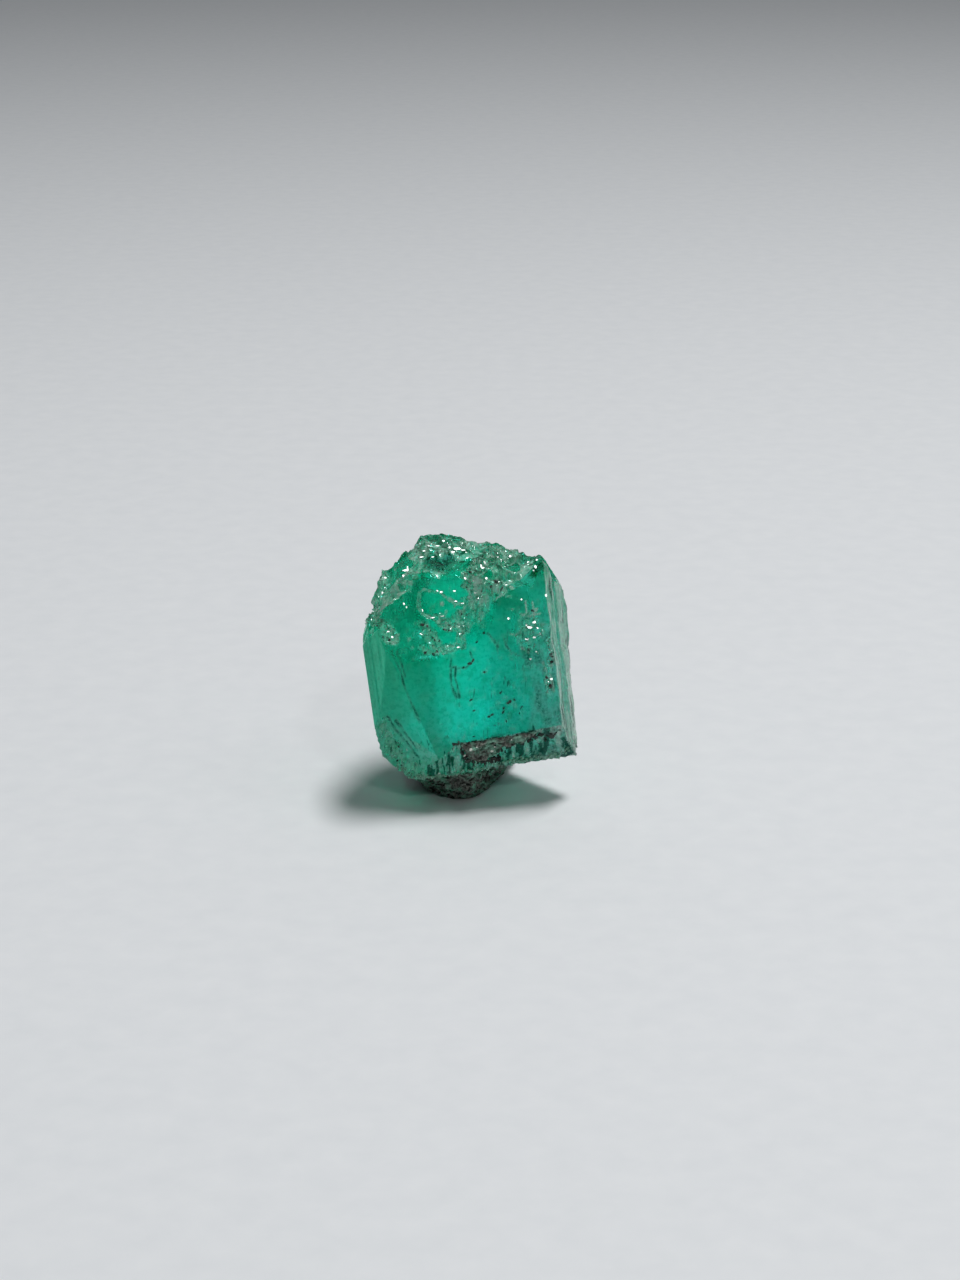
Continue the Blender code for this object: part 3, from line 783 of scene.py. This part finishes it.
def rock_crust():
    """The crust's outline drawn in to its middle over the slanting face, domed and grained."""
    ring = smooth_ring(CRUST_OUTLINE, CRUST_COLUMNS)
    middle = ring.mean(axis=0)
    share = np.linspace(0, 0.97, CRUST_ROWS)[:, None]
    rise = np.minimum(share * 5, 1)
    spots = ring + (middle - ring) * share[..., None]
    flat = np.pad(spots.reshape(-1, 2), ((0, 0), (0, 1)))
    grain = 0.2 * rough_noise(flat, 0.45, 221, 4) + 0.1 * splinters(flat, 0.17, 231, 1.6) - 0.06
    dome = 0.9 * CRUST_THICKNESS * np.sin(rise * math.pi / 2)
    lift = dome + grain.reshape(spots.shape[:2]) * rise
    start = np.array((0, *BEVEL_TOP)) - 0.03 * BEVEL_OUT
    face = np.array((ACROSS, BEVEL_DOWN))
    points = to_world(start + spots @ face + lift[..., None] * BEVEL_OUT)
    return ring_mesh("rock_crust", points, 35, low_cap=to_world(start + middle @ face))


# --- Crumbs, grains and flakes ---


def seen_surface(spots):
    """Where lines of sight from in front and a little above first meet the crystal, in its frame.

    It gives those places, and for each spot, across and up, whether its line meets the crystal.
    """
    across, up = spots[:, :1], spots[:, 1:2]
    back = np.arange(-4, 3, 0.02) + 0 * across
    height = (up - back * math.sin(CAMERA_RISE)) / math.cos(CAMERA_RISE)
    points = from_view(across, back, height)
    inside = body_depth(points.reshape(-1, 3)).reshape(back.shape) > 0
    met = inside.any(axis=1)
    return points[np.arange(len(spots)), inside.argmax(axis=1)][met], met


GRAIN_RINGS = 4
GRAIN_COLUMNS = 7


def grains(name, places, sizes, seed):
    """Rounded crumbs: small balls stretched to their three half sizes, leaned and knocked about."""
    rng = np.random.default_rng(seed)
    rise = np.linspace(-1, 1, GRAIN_RINGS + 2)[1:-1, None] * math.pi / 2
    turn = np.arange(GRAIN_COLUMNS) / GRAIN_COLUMNS * 2 * math.pi
    flat = np.cos(rise)
    ring = np.stack((flat * np.cos(turn), flat * np.sin(turn), np.sin(rise) + 0 * turn), axis=-1)
    ball = np.vstack((ring.reshape(-1, 3), (0, 0, -1), (0, 0, 1)))
    knocked = ball * (1 + rng.uniform(-0.28, 0.28, (len(places), len(ball), 1)))
    x, y, z = np.moveaxis(knocked * sizes[:, None], -1, 0)
    lean = rng.uniform(-0.8, 0.8, (len(places), 1))
    sideways = x * np.cos(lean) + z * np.sin(lean)
    upright = z * np.cos(lean) - x * np.sin(lean)
    points = to_world(np.stack((sideways, y, upright), axis=-1) + places[:, None])
    quads, ends = ring_faces(GRAIN_RINGS, GRAIN_COLUMNS)
    faces = np.vstack((quads[:, :3], quads[:, (0, 2, 3)], ends))
    faces = faces + (np.arange(len(places)) * len(ball))[:, None, None]
    obj = new_mesh(name, points, faces.reshape(-1, 3).tolist())
    shade(obj, 30)
    return obj


# Dark specks on the front: across, up, half width and half height in mm.
SPECKS = (
    (0.93, -1.08, 0.05, 0.04), (1.43, -1.89, 0.04, 0.09), (0.37, -2.45, 0.06, 0.03),
    (1, -2.68, 0.1, 0.04), (0.88, -2.73, 0.07, 0.05), (1.42, -2.62, 0.04, 0.1),
    (1.46, -2.48, 0.04, 0.05), (1.66, -2.31, 0.08, 0.07), (1.89, -2.23, 0.07, 0.03),
    (1.72, -2.27, 0.06, 0.06), (2.1, -2.54, 0.03, 0.09), (2.01, -2.75, 0.03, 0.05),
    (1.49, -2.97, 0.03, 0.06), (1.06, -3.08, 0.08, 0.02), (0.31, -2.04, 0.08, 0.03),
    (0.24, -3.4, 0.06, 0.02), (-1.11, 0.9, 0.08, 0.06), (-0.93, 0.84, 0.05, 0.04),
    (-0.13, 0.78, 0.05, 0.04), (-0.31, 0.63, 0.11, 0.03), (-0.15, 0.6, 0.06, 0.03),
    (-0.73, 0.29, 0.03, 0.05), (-0.57, 0.25, 0.03, 0.05), (-1.11, -0.13, 0.06, 0.07),
    (-0.82, -0.22, 0.07, 0.06), (-0.68, -0.15, 0.05, 0.08), (1.57, 2, 0.05, 0.06),
    (1.75, 2.16, 0.06, 0.08), (1.9, 2.08, 0.1, 0.03), (1.94, 1.86, 0.03, 0.09),
    (1.04, 2.65, 0.05, 0.05), (0.85, 2.62, 0.04, 0.06), (0.67, 2.07, 0.04, 0.04),
    (1.2, 1.88, 0.03, 0.04), (-2.35, 0.48, 0.05, 0.07), (-2.55, 0.62, 0.04, 0.05),
    (3.44, -0.75, 0.07, 0.09), (3.42, -1, 0.06, 0.06), (3.16, -1.55, 0.05, 0.08),
    (3.26, -1.89, 0.07, 0.1), (2.95, 0.95, 0.04, 0.07), (2.62, -0.45, 0.03, 0.05),
    (1.1, 0.35, 0.05, 0.04), (0.8, 0.05, 0.07, 0.03), (0.45, -0.7, 0.1, 0.05),
    (0.2, -0.82, 0.06, 0.04), (0.58, -0.6, 0.04, 0.08), (3.09, -3.72, 0.16, 0.14),
)
# Half size of those specks from front to back, and how deep the crumbs are set in, in mm.
SPECK_HALF_DEPTH = 0.035
CRUMB_SINK = 0.01
# Strips of crumbs: line, half width, number and half size in mm.
CRUMB_STRIPS = (
    (((0.9, -3.72), (1.55, -3.68), (2.39, -3.62), (3.2, -3.66)), 0.09, 90, 0.055),
    (((-0.62, -3.58), (-0.2, -3.6), (0.98, -3.74)), 0.05, 30, 0.05),
    (((-0.3, -3.75), (-0.22, -4.25), (0.1, -4.42), (0.95, -4.42), (1.2, -4.1)), 0.1, 70, 0.06),
    (((1.05, -3.95), (1.6, -3.9), (2.3, -3.8), (2.9, -3.85)), 0.16, 40, 0.05),
    (RIDGE, 0.3, 7, 0.03), (LOW_PATCH_LEFT, 0.2, 5, 0.03), (LEFT_RUBBLE, 0.25, 5, 0.035),
    (((-2.85, -3.4), (-2.55, -4.05), (-2.3, -4.4)), 0.2, 10, 0.04),
)
# White grains in the rock, their white partly a painted glint: across, up and half size in mm,
# and how far they are brought forward.
CALCITE = (
    (0.07, -3.84, 0.07), (0.82, -4, 0.06), (-0.19, -4.04, 0.05), (0.3, -3.78, 0.035),
    (0.95, -3.85, 0.03), (1.6, -3.66, 0.03),
)
CALCITE_LIFT = 0.3
# Flakes that catch the light on the break and in the bruises: across, up, half width and half
# height in mm.
GLINTS = (
    (-1.46, 2.98, 0.19, 0.035), (-1.46, 2.98, 0.035, 0.15), (-1.62, 2.78, 0.045, 0.05),
    (0.43, 3.57, 0.15, 0.05), (0.63, 3.49, 0.1, 0.035), (0.26, 3.46, 0.09, 0.03),
    (0.15, 3.64, 0.05, 0.03), (0.74, 3.4, 0.04, 0.03), (1.26, 2.79, 0.035, 0.09),
    (1.4, 2.92, 0.035, 0.08), (1.33, 2.72, 0.06, 0.03), (1.99, 2.95, 0.045, 0.05),
    (1.85, 3.08, 0.06, 0.035), (2.32, 3.07, 0.045, 0.05), (0.95, 2.3, 0.06, 0.045),
    (0.65, 2.4, 0.045, 0.04), (1.41, 2.32, 0.04, 0.045), (0.95, 1.84, 0.05, 0.03),
    (-0.28, 2.02, 0.065, 0.05), (-0.42, 2.08, 0.045, 0.03), (0.2, 2, 0.06, 0.03),
    (0.2, 1.62, 0.06, 0.025), (0.45, 1.52, 0.07, 0.02), (-0.7, 1.12, 0.08, 0.018),
    (-0.35, 1.14, 0.07, 0.018), (-1.05, 1.45, 0.02, 0.06), (2.99, 2.75, 0.065, 0.045),
    (3.25, 2.52, 0.045, 0.055), (3.3, 2.8, 0.045, 0.03), (3.18, 2.39, 0.04, 0.03),
    (3.5, 1.45, 0.045, 0.05), (-1.68, 1.76, 0.03, 0.055), (-1.6, 1.62, 0.02, 0.045),
    (-2.4, 2.82, 0.06, 0.04), (-2.49, 2.25, 0.04, 0.06), (-2.22, 0.58, 0.045, 0.04),
    (-2.35, 0.8, 0.05, 0.025), (2.05, 0.77, 0.04, 0.05), (2.78, 0.36, 0.11, 0.06),
    (2.97, 0.52, 0.07, 0.045), (2.66, 0.46, 0.035, 0.045), (3.05, 0.3, 0.04, 0.035),
    (3.12, 0.09, 0.04, 0.04), (2.9, -0.02, 0.08, 0.035), (2.61, -0.05, 0.08, 0.04),
    (2.66, -0.79, 0.04, 0.035), (3.32, -1.62, 0.05, 0.045), (3.2, -1.7, 0.03, 0.025),
    (2.6, 1.4, 0.03, 0.03), (2.1, 2, 0.06, 0.018), (-0.6, 3.8, 0.06, 0.03),
    (-0.8, 3.62, 0.07, 0.02), (-0.3, 3.76, 0.08, 0.02), (-0.05, 3.92, 0.05, 0.03),
    (-0.9, 3.4, 0.09, 0.02), (-0.5, 3.36, 0.06, 0.018), (2.9, -0.55, 0.03, 0.03),
    (-1.24, -4.62, 0.04, 0.035), (-2.3, -3.6, 0.03, 0.03), (0.1, -0.06, 0.07, 0.018),
)
GLINT_SIDES = 6
GLINT_THICKNESS = 0.03
GLINT_LIFT = 0.03


def glint_flakes():
    """Thin six-sided plates at the listed places, each turned half way from viewer to softbox."""
    rng = np.random.default_rng(29)
    picked = np.array(GLINTS)
    places, met = seen_surface(picked)
    halfway = unit(TO_VIEWER + unit(SOFTBOX_PLACE))
    facing = unit(halfway + rng.normal(0, 0.035, places.shape))
    across = unit(np.cross((0, 0, 1), facing))
    upward = np.cross(facing, across)
    turn = np.arange(GLINT_SIDES) / GLINT_SIDES * 2 * math.pi
    reach = 1 + rng.uniform(-0.25, 0.25, (len(places), GLINT_SIDES))
    # A plate that leans back is drawn out so that its height shows in full.
    wide = picked[met, 2:3] * reach * np.cos(turn)
    high = picked[met, 3:4] / (facing @ TO_VIEWER)[:, None] * reach * np.sin(turn)
    rim = wide[..., None] * across[:, None] + high[..., None] * upward[:, None]
    front = to_world(places)[:, None] / MM + rim + GLINT_LIFT * TO_VIEWER
    back = front - GLINT_THICKNESS * facing[:, None]
    points = np.concatenate((front, back), axis=1) * MM
    here = np.arange(GLINT_SIDES)
    after = (here + 1) % GLINT_SIDES
    starts = (np.arange(len(places)) * 2 * GLINT_SIDES)[:, None]
    plates = np.vstack((starts + here, starts + GLINT_SIDES + here[::-1]))
    edge = np.stack((after, here, here + GLINT_SIDES, after + GLINT_SIDES), axis=-1)
    edges = (starts[:, None] + edge).reshape(-1, 4)
    return new_mesh("glint_flakes", points, plates.tolist() + edges.tolist())


def calcite_grains():
    """White grains seated at the listed places and brought forward and a little up."""
    picked = np.array(CALCITE)
    places, met = seen_surface(picked)
    out = from_view(0, -CALCITE_LIFT, 0.25 * CALCITE_LIFT)
    sizes = picked[met, 2:] * np.array((1, 0.8, 0.7))
    return grains("calcite_grains", places + out, sizes, 23)


def along_strips(strips, rng):
    """Spots scattered along each strip's line, and their three half sizes, all in mm."""
    spots = []
    sizes = []
    for line, half_width, number, half_size in strips:
        steps = np.linalg.norm(np.diff(line, axis=0), axis=1)
        reach = np.append(0, np.cumsum(steps))
        along = rng.uniform(0, reach[-1], number)
        spot = np.stack([np.interp(along, reach, values) for values in np.transpose(line)], axis=1)
        spots.append(spot + rng.normal(0, 0.5, spot.shape) * half_width)
        sizes.append(half_size * rng.uniform(0.35, 1.3, (number, 3)))
    return np.concatenate(spots), np.concatenate(sizes)


def rock_specks():
    """Crumbs of rock set into the front at listed places and scattered along listed strips."""
    picked = np.array(SPECKS)
    spots, sizes = along_strips(CRUMB_STRIPS, np.random.default_rng(17))
    sizes = np.concatenate((np.insert(picked[:, 2:], 1, SPECK_HALF_DEPTH, axis=1), sizes))
    places, met = seen_surface(np.concatenate((picked[:, :2], spots)))
    return grains("rock_specks", places - CRUMB_SINK * unit(places), sizes[met], 19)


# Strips of small broken flakes round the low rim and in the bruises.
FLAKE_STRIPS = (
    (((-2.75, -4.2), (-2.3, -4.62), (-1.2, -4.8), (-0.31, -4.72)), 0.12, 110, 0.045),
    (((-0.31, -4.72), (1.29, -4.52), (3.09, -4.5), (3.6, -4.3)), 0.12, 110, 0.045),
    (RIGHT_BRUISE, 0.45, 16, 0.03), (RIDGE, 0.45, 14, 0.026), (LEFT_RUBBLE, 0.35, 8, 0.026),
    (KNOB, 0.4, 10, 0.026), (LEFT_RUBBLE_TOP, 0.35, 8, 0.026), (RIDGE_SIDE, 0.4, 8, 0.026),
    (LOW_PATCH, 0.25, 6, 0.024), (WINDOW_FLOOR, 0.08, 6, 0.022), (SHELF, 0.1, 6, 0.024),
    (RIGHT_EDGE_CHIPS, 0.2, 12, 0.028),
)


def rim_flakes():
    """Small broken flakes scattered along listed strips."""
    spots, sizes = along_strips(FLAKE_STRIPS, np.random.default_rng(31))
    places, met = seen_surface(spots)
    return grains("rim_flakes", places, sizes[met], 37)


# --- Materials ---


def linear(hex_colour):
    """An sRGB hex colour as linear red, green, blue and full alpha."""
    values = [int(hex_colour[i : i + 2], 16) / 255 for i in (1, 3, 5)]
    return [v / 12.92 if v <= 0.04045 else ((v + 0.055) / 1.055) ** 2.4 for v in values] + [1]


def add(tree, kind, sockets=None, **settings):
    """Adds a node with its settings, and gives its outputs.

    Each socket takes a link from another's output, a hex colour or any other value.
    """
    node = tree.nodes.new(kind)
    for name, value in settings.items():
        setattr(node, name, value)
    for name, value in (sockets or {}).items():
        if isinstance(value, bpy.types.NodeSocket):
            tree.links.new(value, node.inputs[name])
        else:
            node.inputs[name].default_value = linear(value) if isinstance(value, str) else value
    return node.outputs


# Sockets by number. Maths: 0, 1. Range: 0 value, 1, 2 from, 3, 4 to. Mix: 0 share, 6, 7 colours.
MATHS = "ShaderNodeMath"
VECTORS = "ShaderNodeVectorMath"
RANGE = "ShaderNodeMapRange"
MIX = "ShaderNodeMix"
NOISE = "ShaderNodeTexNoise"
BUMP = "ShaderNodeBump"
PRINCIPLED = "ShaderNodeBsdfPrincipled"
OUTPUT = "ShaderNodeOutputMaterial"


def cleared(block):
    """Clears a material's or a world's nodes, and gives the function that adds one to it."""
    block.use_nodes = True
    block.node_tree.nodes.clear()
    return functools.partial(add, block.node_tree)


def times_ranges(node, start, *ranges):
    """The start times each value, once that value is stretched from one range to another."""
    for stretch in ranges:
        share = node(RANGE, dict(enumerate(stretch)))[0]
        start = node(MATHS, {0: start, 1: share}, operation="MULTIPLY")[0]
    return start


def facet_heights(node, place, scale):
    """Heights in metres over a mosaic of flat facets, each tilted its own way."""
    mosaic = node("ShaderNodeTexVoronoi", {"Vector": place, "Scale": scale})
    from_seed = node(VECTORS, {0: place, 1: mosaic["Position"]}, operation="SUBTRACT")[0]
    tilt = node(VECTORS, {0: mosaic["Color"], 1: (0.5, 0.5, 0.5)}, operation="SUBTRACT")[0]
    return node(VECTORS, {0: from_seed, 1: tilt}, operation="DOT_PRODUCT")["Value"]


def emerald_material():
    """Emerald, a chrome-green beryl: glassy growth faces, etched sides, shell-shaped breaks.

    It is clear, of refractive index 1.58, and takes most of the red and some of the blue from
    light on its way through. Etched and bruised places scatter light and look pale and silvery.
    """
    material = bpy.data.materials.new("emerald_beryl")
    node = cleared(material)
    place = node("ShaderNodeTexCoord")["Object"]
    # Turned so that the pattern's Z follows the growth axis, along which it is drawn out.
    turned = {"Vector": place, "Rotation": (0, LEAN, 0), "Scale": (1, 1, 0.12)}
    along = node("ShaderNodeMapping", turned)[0]
    height = node("ShaderNodeSeparateXYZ", {0: along})["Z"]
    finish = node("ShaderNodeAttribute", attribute_name="finish")
    # The pale channel is partly painted glint and reflection, the stain channel partly painted
    # shade.
    frost, pale, stain_and_shade = node("ShaderNodeSeparateColor", {0: finish["Color"]})
    # Etch lines about 0.12 mm apart, drawn out eight times along the growth axis.
    lines = node(NOISE, {"Vector": along, "Scale": 8000, "Detail": 3})["Fac"]
    # Cloudy patches about 0.7 mm across, mottling of 0.2 mm, and grain of 0.08 mm, which is
    # coarser than real etching, so that it shows.
    clouds = node(NOISE, {"Vector": place, "Scale": 1400, "Detail": 4})["Fac"]
    mottling = {"Vector": place, "Scale": 5200, "Detail": 6, "Roughness": 0.65}
    mottle = node(NOISE, mottling)["Fac"]
    grain = node(NOISE, {"Vector": place, "Scale": 12000, "Detail": 2})["Fac"]
    # Short dashes about 0.07 mm wide and 0.3 mm long, and streaks about 0.1 mm wide.
    dashes = {"Vector": along, "Scale": 15000, "Detail": 1, "Distortion": 0.4}
    dashes = node(NOISE, dashes)["Fac"]
    streaks = node(NOISE, {"Vector": along, "Scale": 9500, "Distortion": 0.2})["Fac"]
    patch = times_ranges(
        node, pale, (clouds, 0.35, 0.65, 0.6, 1.3), (lines, 0.35, 0.65, 0.5, 1.4),
        (grain, 0.32, 0.68, 0.75, 1.2),
    )
    # The dark dashes lie in patches, most of them on the lower half.
    zone = node(RANGE, {0: height, 1: 0.12 * 0.003, 2: 0.12 * 0.008})[0]
    dashes = times_ranges(
        node, 1, (dashes, 0.63, 0.7, 0, 0.9), (clouds, 0.4, 0.6, 0, 1),
        (zone, 0.2, 0.6, 1, 0.3),
    )
    dark = times_ranges(node, stain_and_shade, (grain, 0.3, 0.6, 0.6, 1.2))
    dark = node(MATHS, {0: dark, 1: dashes}, operation="MAXIMUM")[0]
    dark = node(RANGE, {0: dark, 1: 0.1, 2: 0.75})[0]
    # Rock dirt is held between the streaks.
    dirt = times_ranges(node, finish["Alpha"], (streaks, 0.42, 0.56, 0.25, 1.25))
    grainy = node(RANGE, {0: grain, 1: 0.35, 2: 0.65})[0]
    rock = node(MIX, {0: grainy, 6: "#2c332f", 7: "#6d7f75"}, data_type="RGBA")[2]
    # The upper half is a little deeper in colour, and faint clouds deepen it in places. Then come
    # what is pale, what is dark and what is dirty.
    deeper = node(RANGE, {0: mottle, 1: 0.48, 2: 0.6, 3: 0, 4: 0.6})[0]
    clouded = node(RANGE, {0: clouds, 1: 0.5, 2: 0.62, 3: 0, 4: 0.42})[0]
    layers = (
        (zone, "#98e0c0"), (deeper, "#4aa882"), (clouded, "#4fae88"), (patch, "#b8dcc8"),
        (dark, "#04301f"), (dirt, rock),
    )
    colour = "#fcfffe"
    for share, tone in layers:
        colour = node(MIX, {0: share, 6: colour, 7: tone}, data_type="RGBA")[2]
    rough = times_ranges(node, frost, (lines, 0.3, 0.7, 0.45, 0.8))
    rough = node(MATHS, {0: rough, 1: 0.02}, operation="ADD")[0]
    # What scatters light at the surface lets less of it through.
    through = times_ranges(
        node, 1, (patch, 0, 1, 1, 0.35), (dark, 0, 1, 1, 0.75),
        (dirt, 0, 1, 1, 0.05),
    )
    etched = times_ranges(node, lines, (frost, 0, 1, 0.15, 1))
    etched = node(BUMP, {"Height": etched, "Strength": 0.25, "Distance": 0.00004})[0]
    # Crushed places are a mosaic of flat facets about 0.22 mm wide.
    facets = facet_heights(node, place, 4500)
    facets = times_ranges(node, facets, (pale, 0.12, 0.5, 0, 0.6))
    bump = {"Height": facets, "Normal": etched, "Strength": 1, "Distance": 1}
    shader = {
        "Base Color": colour,
        "Roughness": rough,
        "Transmission Weight": through,
        "Normal": node(BUMP, bump)[0],
        "IOR": 1.58,
        "Metallic": 0,
        "Specular Tint": (0.08, 0.95, 0.85, 1),
        # Fresh flakes glint white.
        "Coat Weight": node(RANGE, {0: patch, 1: 0.3, 2: 0.7})[0],
        "Coat Roughness": 0.06,
        "Coat IOR": 1.58,
    }
    # Over 6 mm this takes nearly all the red, a thirtieth of the green, a quarter of the blue.
    taken = {"Color": (0.02, 0.993, 0.942, 1), "Density": 900}
    body = node("ShaderNodeVolumeAbsorption", taken)[0]
    node(OUTPUT, {"Surface": node(PRINCIPLED, shader)[0], "Volume": body})
    return material


def shale_material(name, lightest, dust_and_light_share):
    """Black shale, the carbon-rich rock that emerald veins grow in: dull, dark, brown in places."""
    material = bpy.data.materials.new(name)
    node = cleared(material)
    place = node("ShaderNodeTexCoord")["Object"]
    # Grains about 0.12 mm across, blotches about 0.8 mm across, and emerald dust in the hollows,
    # in patches about 0.4 mm across, whose green is partly painted light from the crystal.
    grit = {"Vector": place, "Scale": 9000, "Detail": 4, "Roughness": 0.7}
    grain = node(NOISE, grit)["Fac"]
    blotch = node(NOISE, {"Vector": place, "Scale": 1300, "Detail": 3})["Fac"]
    dust_and_green_light = node(NOISE, {"Vector": place, "Scale": 2600, "Detail": 4})["Fac"]
    light = node(RANGE, {0: grain, 1: 0.38, 2: 0.64})[0]
    brown = node(RANGE, {0: blotch, 1: 0.45, 2: 0.7, 3: 0, 4: 0.6})[0]
    dust_and_green_light = node(RANGE, {0: dust_and_green_light, 1: 0.46, 2: 0.62, 3: 0, 4: dust_and_light_share})[0]
    colour = "#1f1d1c"
    for share, tone in ((light, lightest), (brown, "#45463f"), (dust_and_green_light, "#78ab95")):
        colour = node(MIX, {0: share, 6: colour, 7: tone}, data_type="RGBA")[2]
    rough = node(RANGE, {0: grain, 1: 0.3, 2: 0.7, 3: 0.9, 4: 0.45})[0]
    facets = facet_heights(node, place, 9000)
    bump = node(BUMP, {"Height": facets, "Strength": 1, "Distance": 1})[0]
    shader = {"Base Color": colour, "Roughness": rough, "Normal": bump, "IOR": 1.5, "Metallic": 0}
    node(OUTPUT, {"Surface": node(PRINCIPLED, shader)[0]})
    return material


def mottled_material(name, scale, detail, tones, shader):
    """A plain material whose colour wanders between two tones, in patches of about 1 m / scale."""
    material = bpy.data.materials.new(name)
    node = cleared(material)
    place = node("ShaderNodeTexCoord")["Object"]
    mottle = node(NOISE, {"Vector": place, "Scale": scale, "Detail": detail})["Fac"]
    colour = node(MIX, {0: mottle, 6: tones[0], 7: tones[1]}, data_type="RGBA")[2]
    node(OUTPUT, {"Surface": node(PRINCIPLED, {"Base Color": colour, **shader})[0]})
    return material


# Calcite, the white mineral that fills the veins: glossy grains, clouded every 0.08 mm.
# Their white is partly a painted glint.
WHITE_CALCITE_GLINTS = (
    "white_calcite", 12000, 2, ("#f4f5f0", "#d9dccf"), {"Roughness": 0.12, "IOR": 1.6}
)
# Crushed beryl: broken fine it scatters nearly all light, so it is white, with a glassy shine.
# Green shows through every 0.1 mm, and more of it in the coarser flakes.
BERYL_SHINE = {"Roughness": 0.2, "IOR": 1.58}
# On the glint plates this white is also a painted highlight.
CRUSHED_BERYL_GLINTS = ("crushed_beryl", 10000, 2, ("#ffffff", "#c9ead9"), BERYL_SHINE)
COARSER_BERYL = ("crushed_beryl_green", 10000, 2, ("#8fc4aa", "#4f9478"), BERYL_SHINE)
# Uncoated white paper: matt, very faintly mottled every 1 mm.
WHITE_PAPER = (
    "white_paper", 900, 4, ("#e2e5e8", "#eceef0"), {"Roughness": 0.9, "Specular IOR Level": 0.2}
)

# --- Floor, light and camera ---


def link(name, data, place, target):
    """Adds a lamp or a camera at a place, looking along its own -Z at the target."""
    obj = bpy.data.objects.new(name, data)
    bpy.context.scene.collection.objects.link(obj)
    obj.location = place
    obj.rotation_euler = (Vector(target) - Vector(place)).to_track_quat("-Z", "Y").to_euler()
    return obj


def add_camera():
    data = bpy.data.cameras.new("camera")
    data.lens = CAMERA_LENS
    data.sensor_width = 36
    data.clip_start = 0.005
    data.clip_end = 20
    target = CAMERA_AIM * MM
    bpy.context.scene.camera = link("camera", data, target + TO_VIEWER * CAMERA_DISTANCE, target)


# The lights are dim and the exposure long, which keeps bright paths through the crystal.
EXPOSURE_STOPS = 2
LIGHT_SCALE = 0.5**EXPOSURE_STOPS
# Round white lamps, all aimed at the stone's middle: place and size in metres, and power in watts.
LAMPS = (
    ("overhead_softbox", SOFTBOX_PLACE, (0.14, 0.07), 0.64),
    ("glint_lamp", (0.07, -0.2, 0.18), (0.03, 0.03), 0.05),
    ("side_softbox", (0.22, -0.08, 0.24), (0.12, 0.12), 0.04),
)
LAMP_TARGET = (0, 0, 0.005)


def add_lamps():
    for name, place, size, power in LAMPS:
        data = bpy.data.lights.new(name, "AREA")
        data.shape = "ELLIPSE"
        data.size, data.size_y = size
        data.energy = power * LIGHT_SCALE
        link(name, data, place, LAMP_TARGET)


# Towards the brightest part of the sky.
BRIGHTEST_SKY = (0.1, 0.5, 0.86)
SKY_STRENGTH = 0.3


def add_world():
    world = bpy.data.worlds.new("studio")
    node = cleared(world)
    place = node("ShaderNodeTexCoord")["Generated"]
    # Brightest overhead and a little behind, darkest in front of the stone and near the horizon.
    towards = node(VECTORS, {0: place, 1: BRIGHTEST_SKY}, operation="DOT_PRODUCT")["Value"]
    share = node(RANGE, {0: towards, 1: 0.35, 2: 0.95})[0]
    colour = node(MIX, {0: share, 6: "#101314", 7: "#e6ebef"}, data_type="RGBA")[2]
    sky = {"Color": colour, "Strength": SKY_STRENGTH * LIGHT_SCALE}
    node("ShaderNodeOutputWorld", {"Surface": node("ShaderNodeBackground", sky)[0]})
    bpy.context.scene.world = world


def add_floor():
    half = 1.5
    corners = np.array(((-half, -half, 0), (half, -half, 0), (half, half, 0), (-half, half, 0)))
    floor = new_mesh("paper_floor", corners, [(0, 1, 2, 3)])
    floor.data.materials.append(mottled_material(*WHITE_PAPER))


def main():
    add_camera()
    add_world()
    add_floor()
    add_lamps()
    emerald = emerald_body()
    emerald.data.materials.append(emerald_material())
    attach(emerald, "root")
    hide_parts("emerald_crystal")
    shale = shale_material("black_shale", "#8f978c", 1)
    for piece, node in ((rock_foot(), "matrix_foot"), (rock_crust(), "matrix_crust")):
        piece.data.materials.append(shale)
        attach(piece, "root")
        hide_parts(node)
    crumbs = (
        (rock_specks(), shale_material("black_shale_crumbs", "#2f3833", 0.1), "host_rock"),
        (rim_flakes(), mottled_material(*COARSER_BERYL), "emerald"),
        (calcite_grains(), mottled_material(*WHITE_CALCITE_GLINTS), "host_rock"),
        (glint_flakes(), mottled_material(*CRUSHED_BERYL_GLINTS), "emerald"),
    )
    for piece, material, slot in crumbs:
        piece.data.materials.append(material)
        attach(piece, "root")
    bpy.context.scene.view_settings.view_transform = "Standard"
    bpy.context.scene.view_settings.exposure = EXPOSURE_STOPS


main()

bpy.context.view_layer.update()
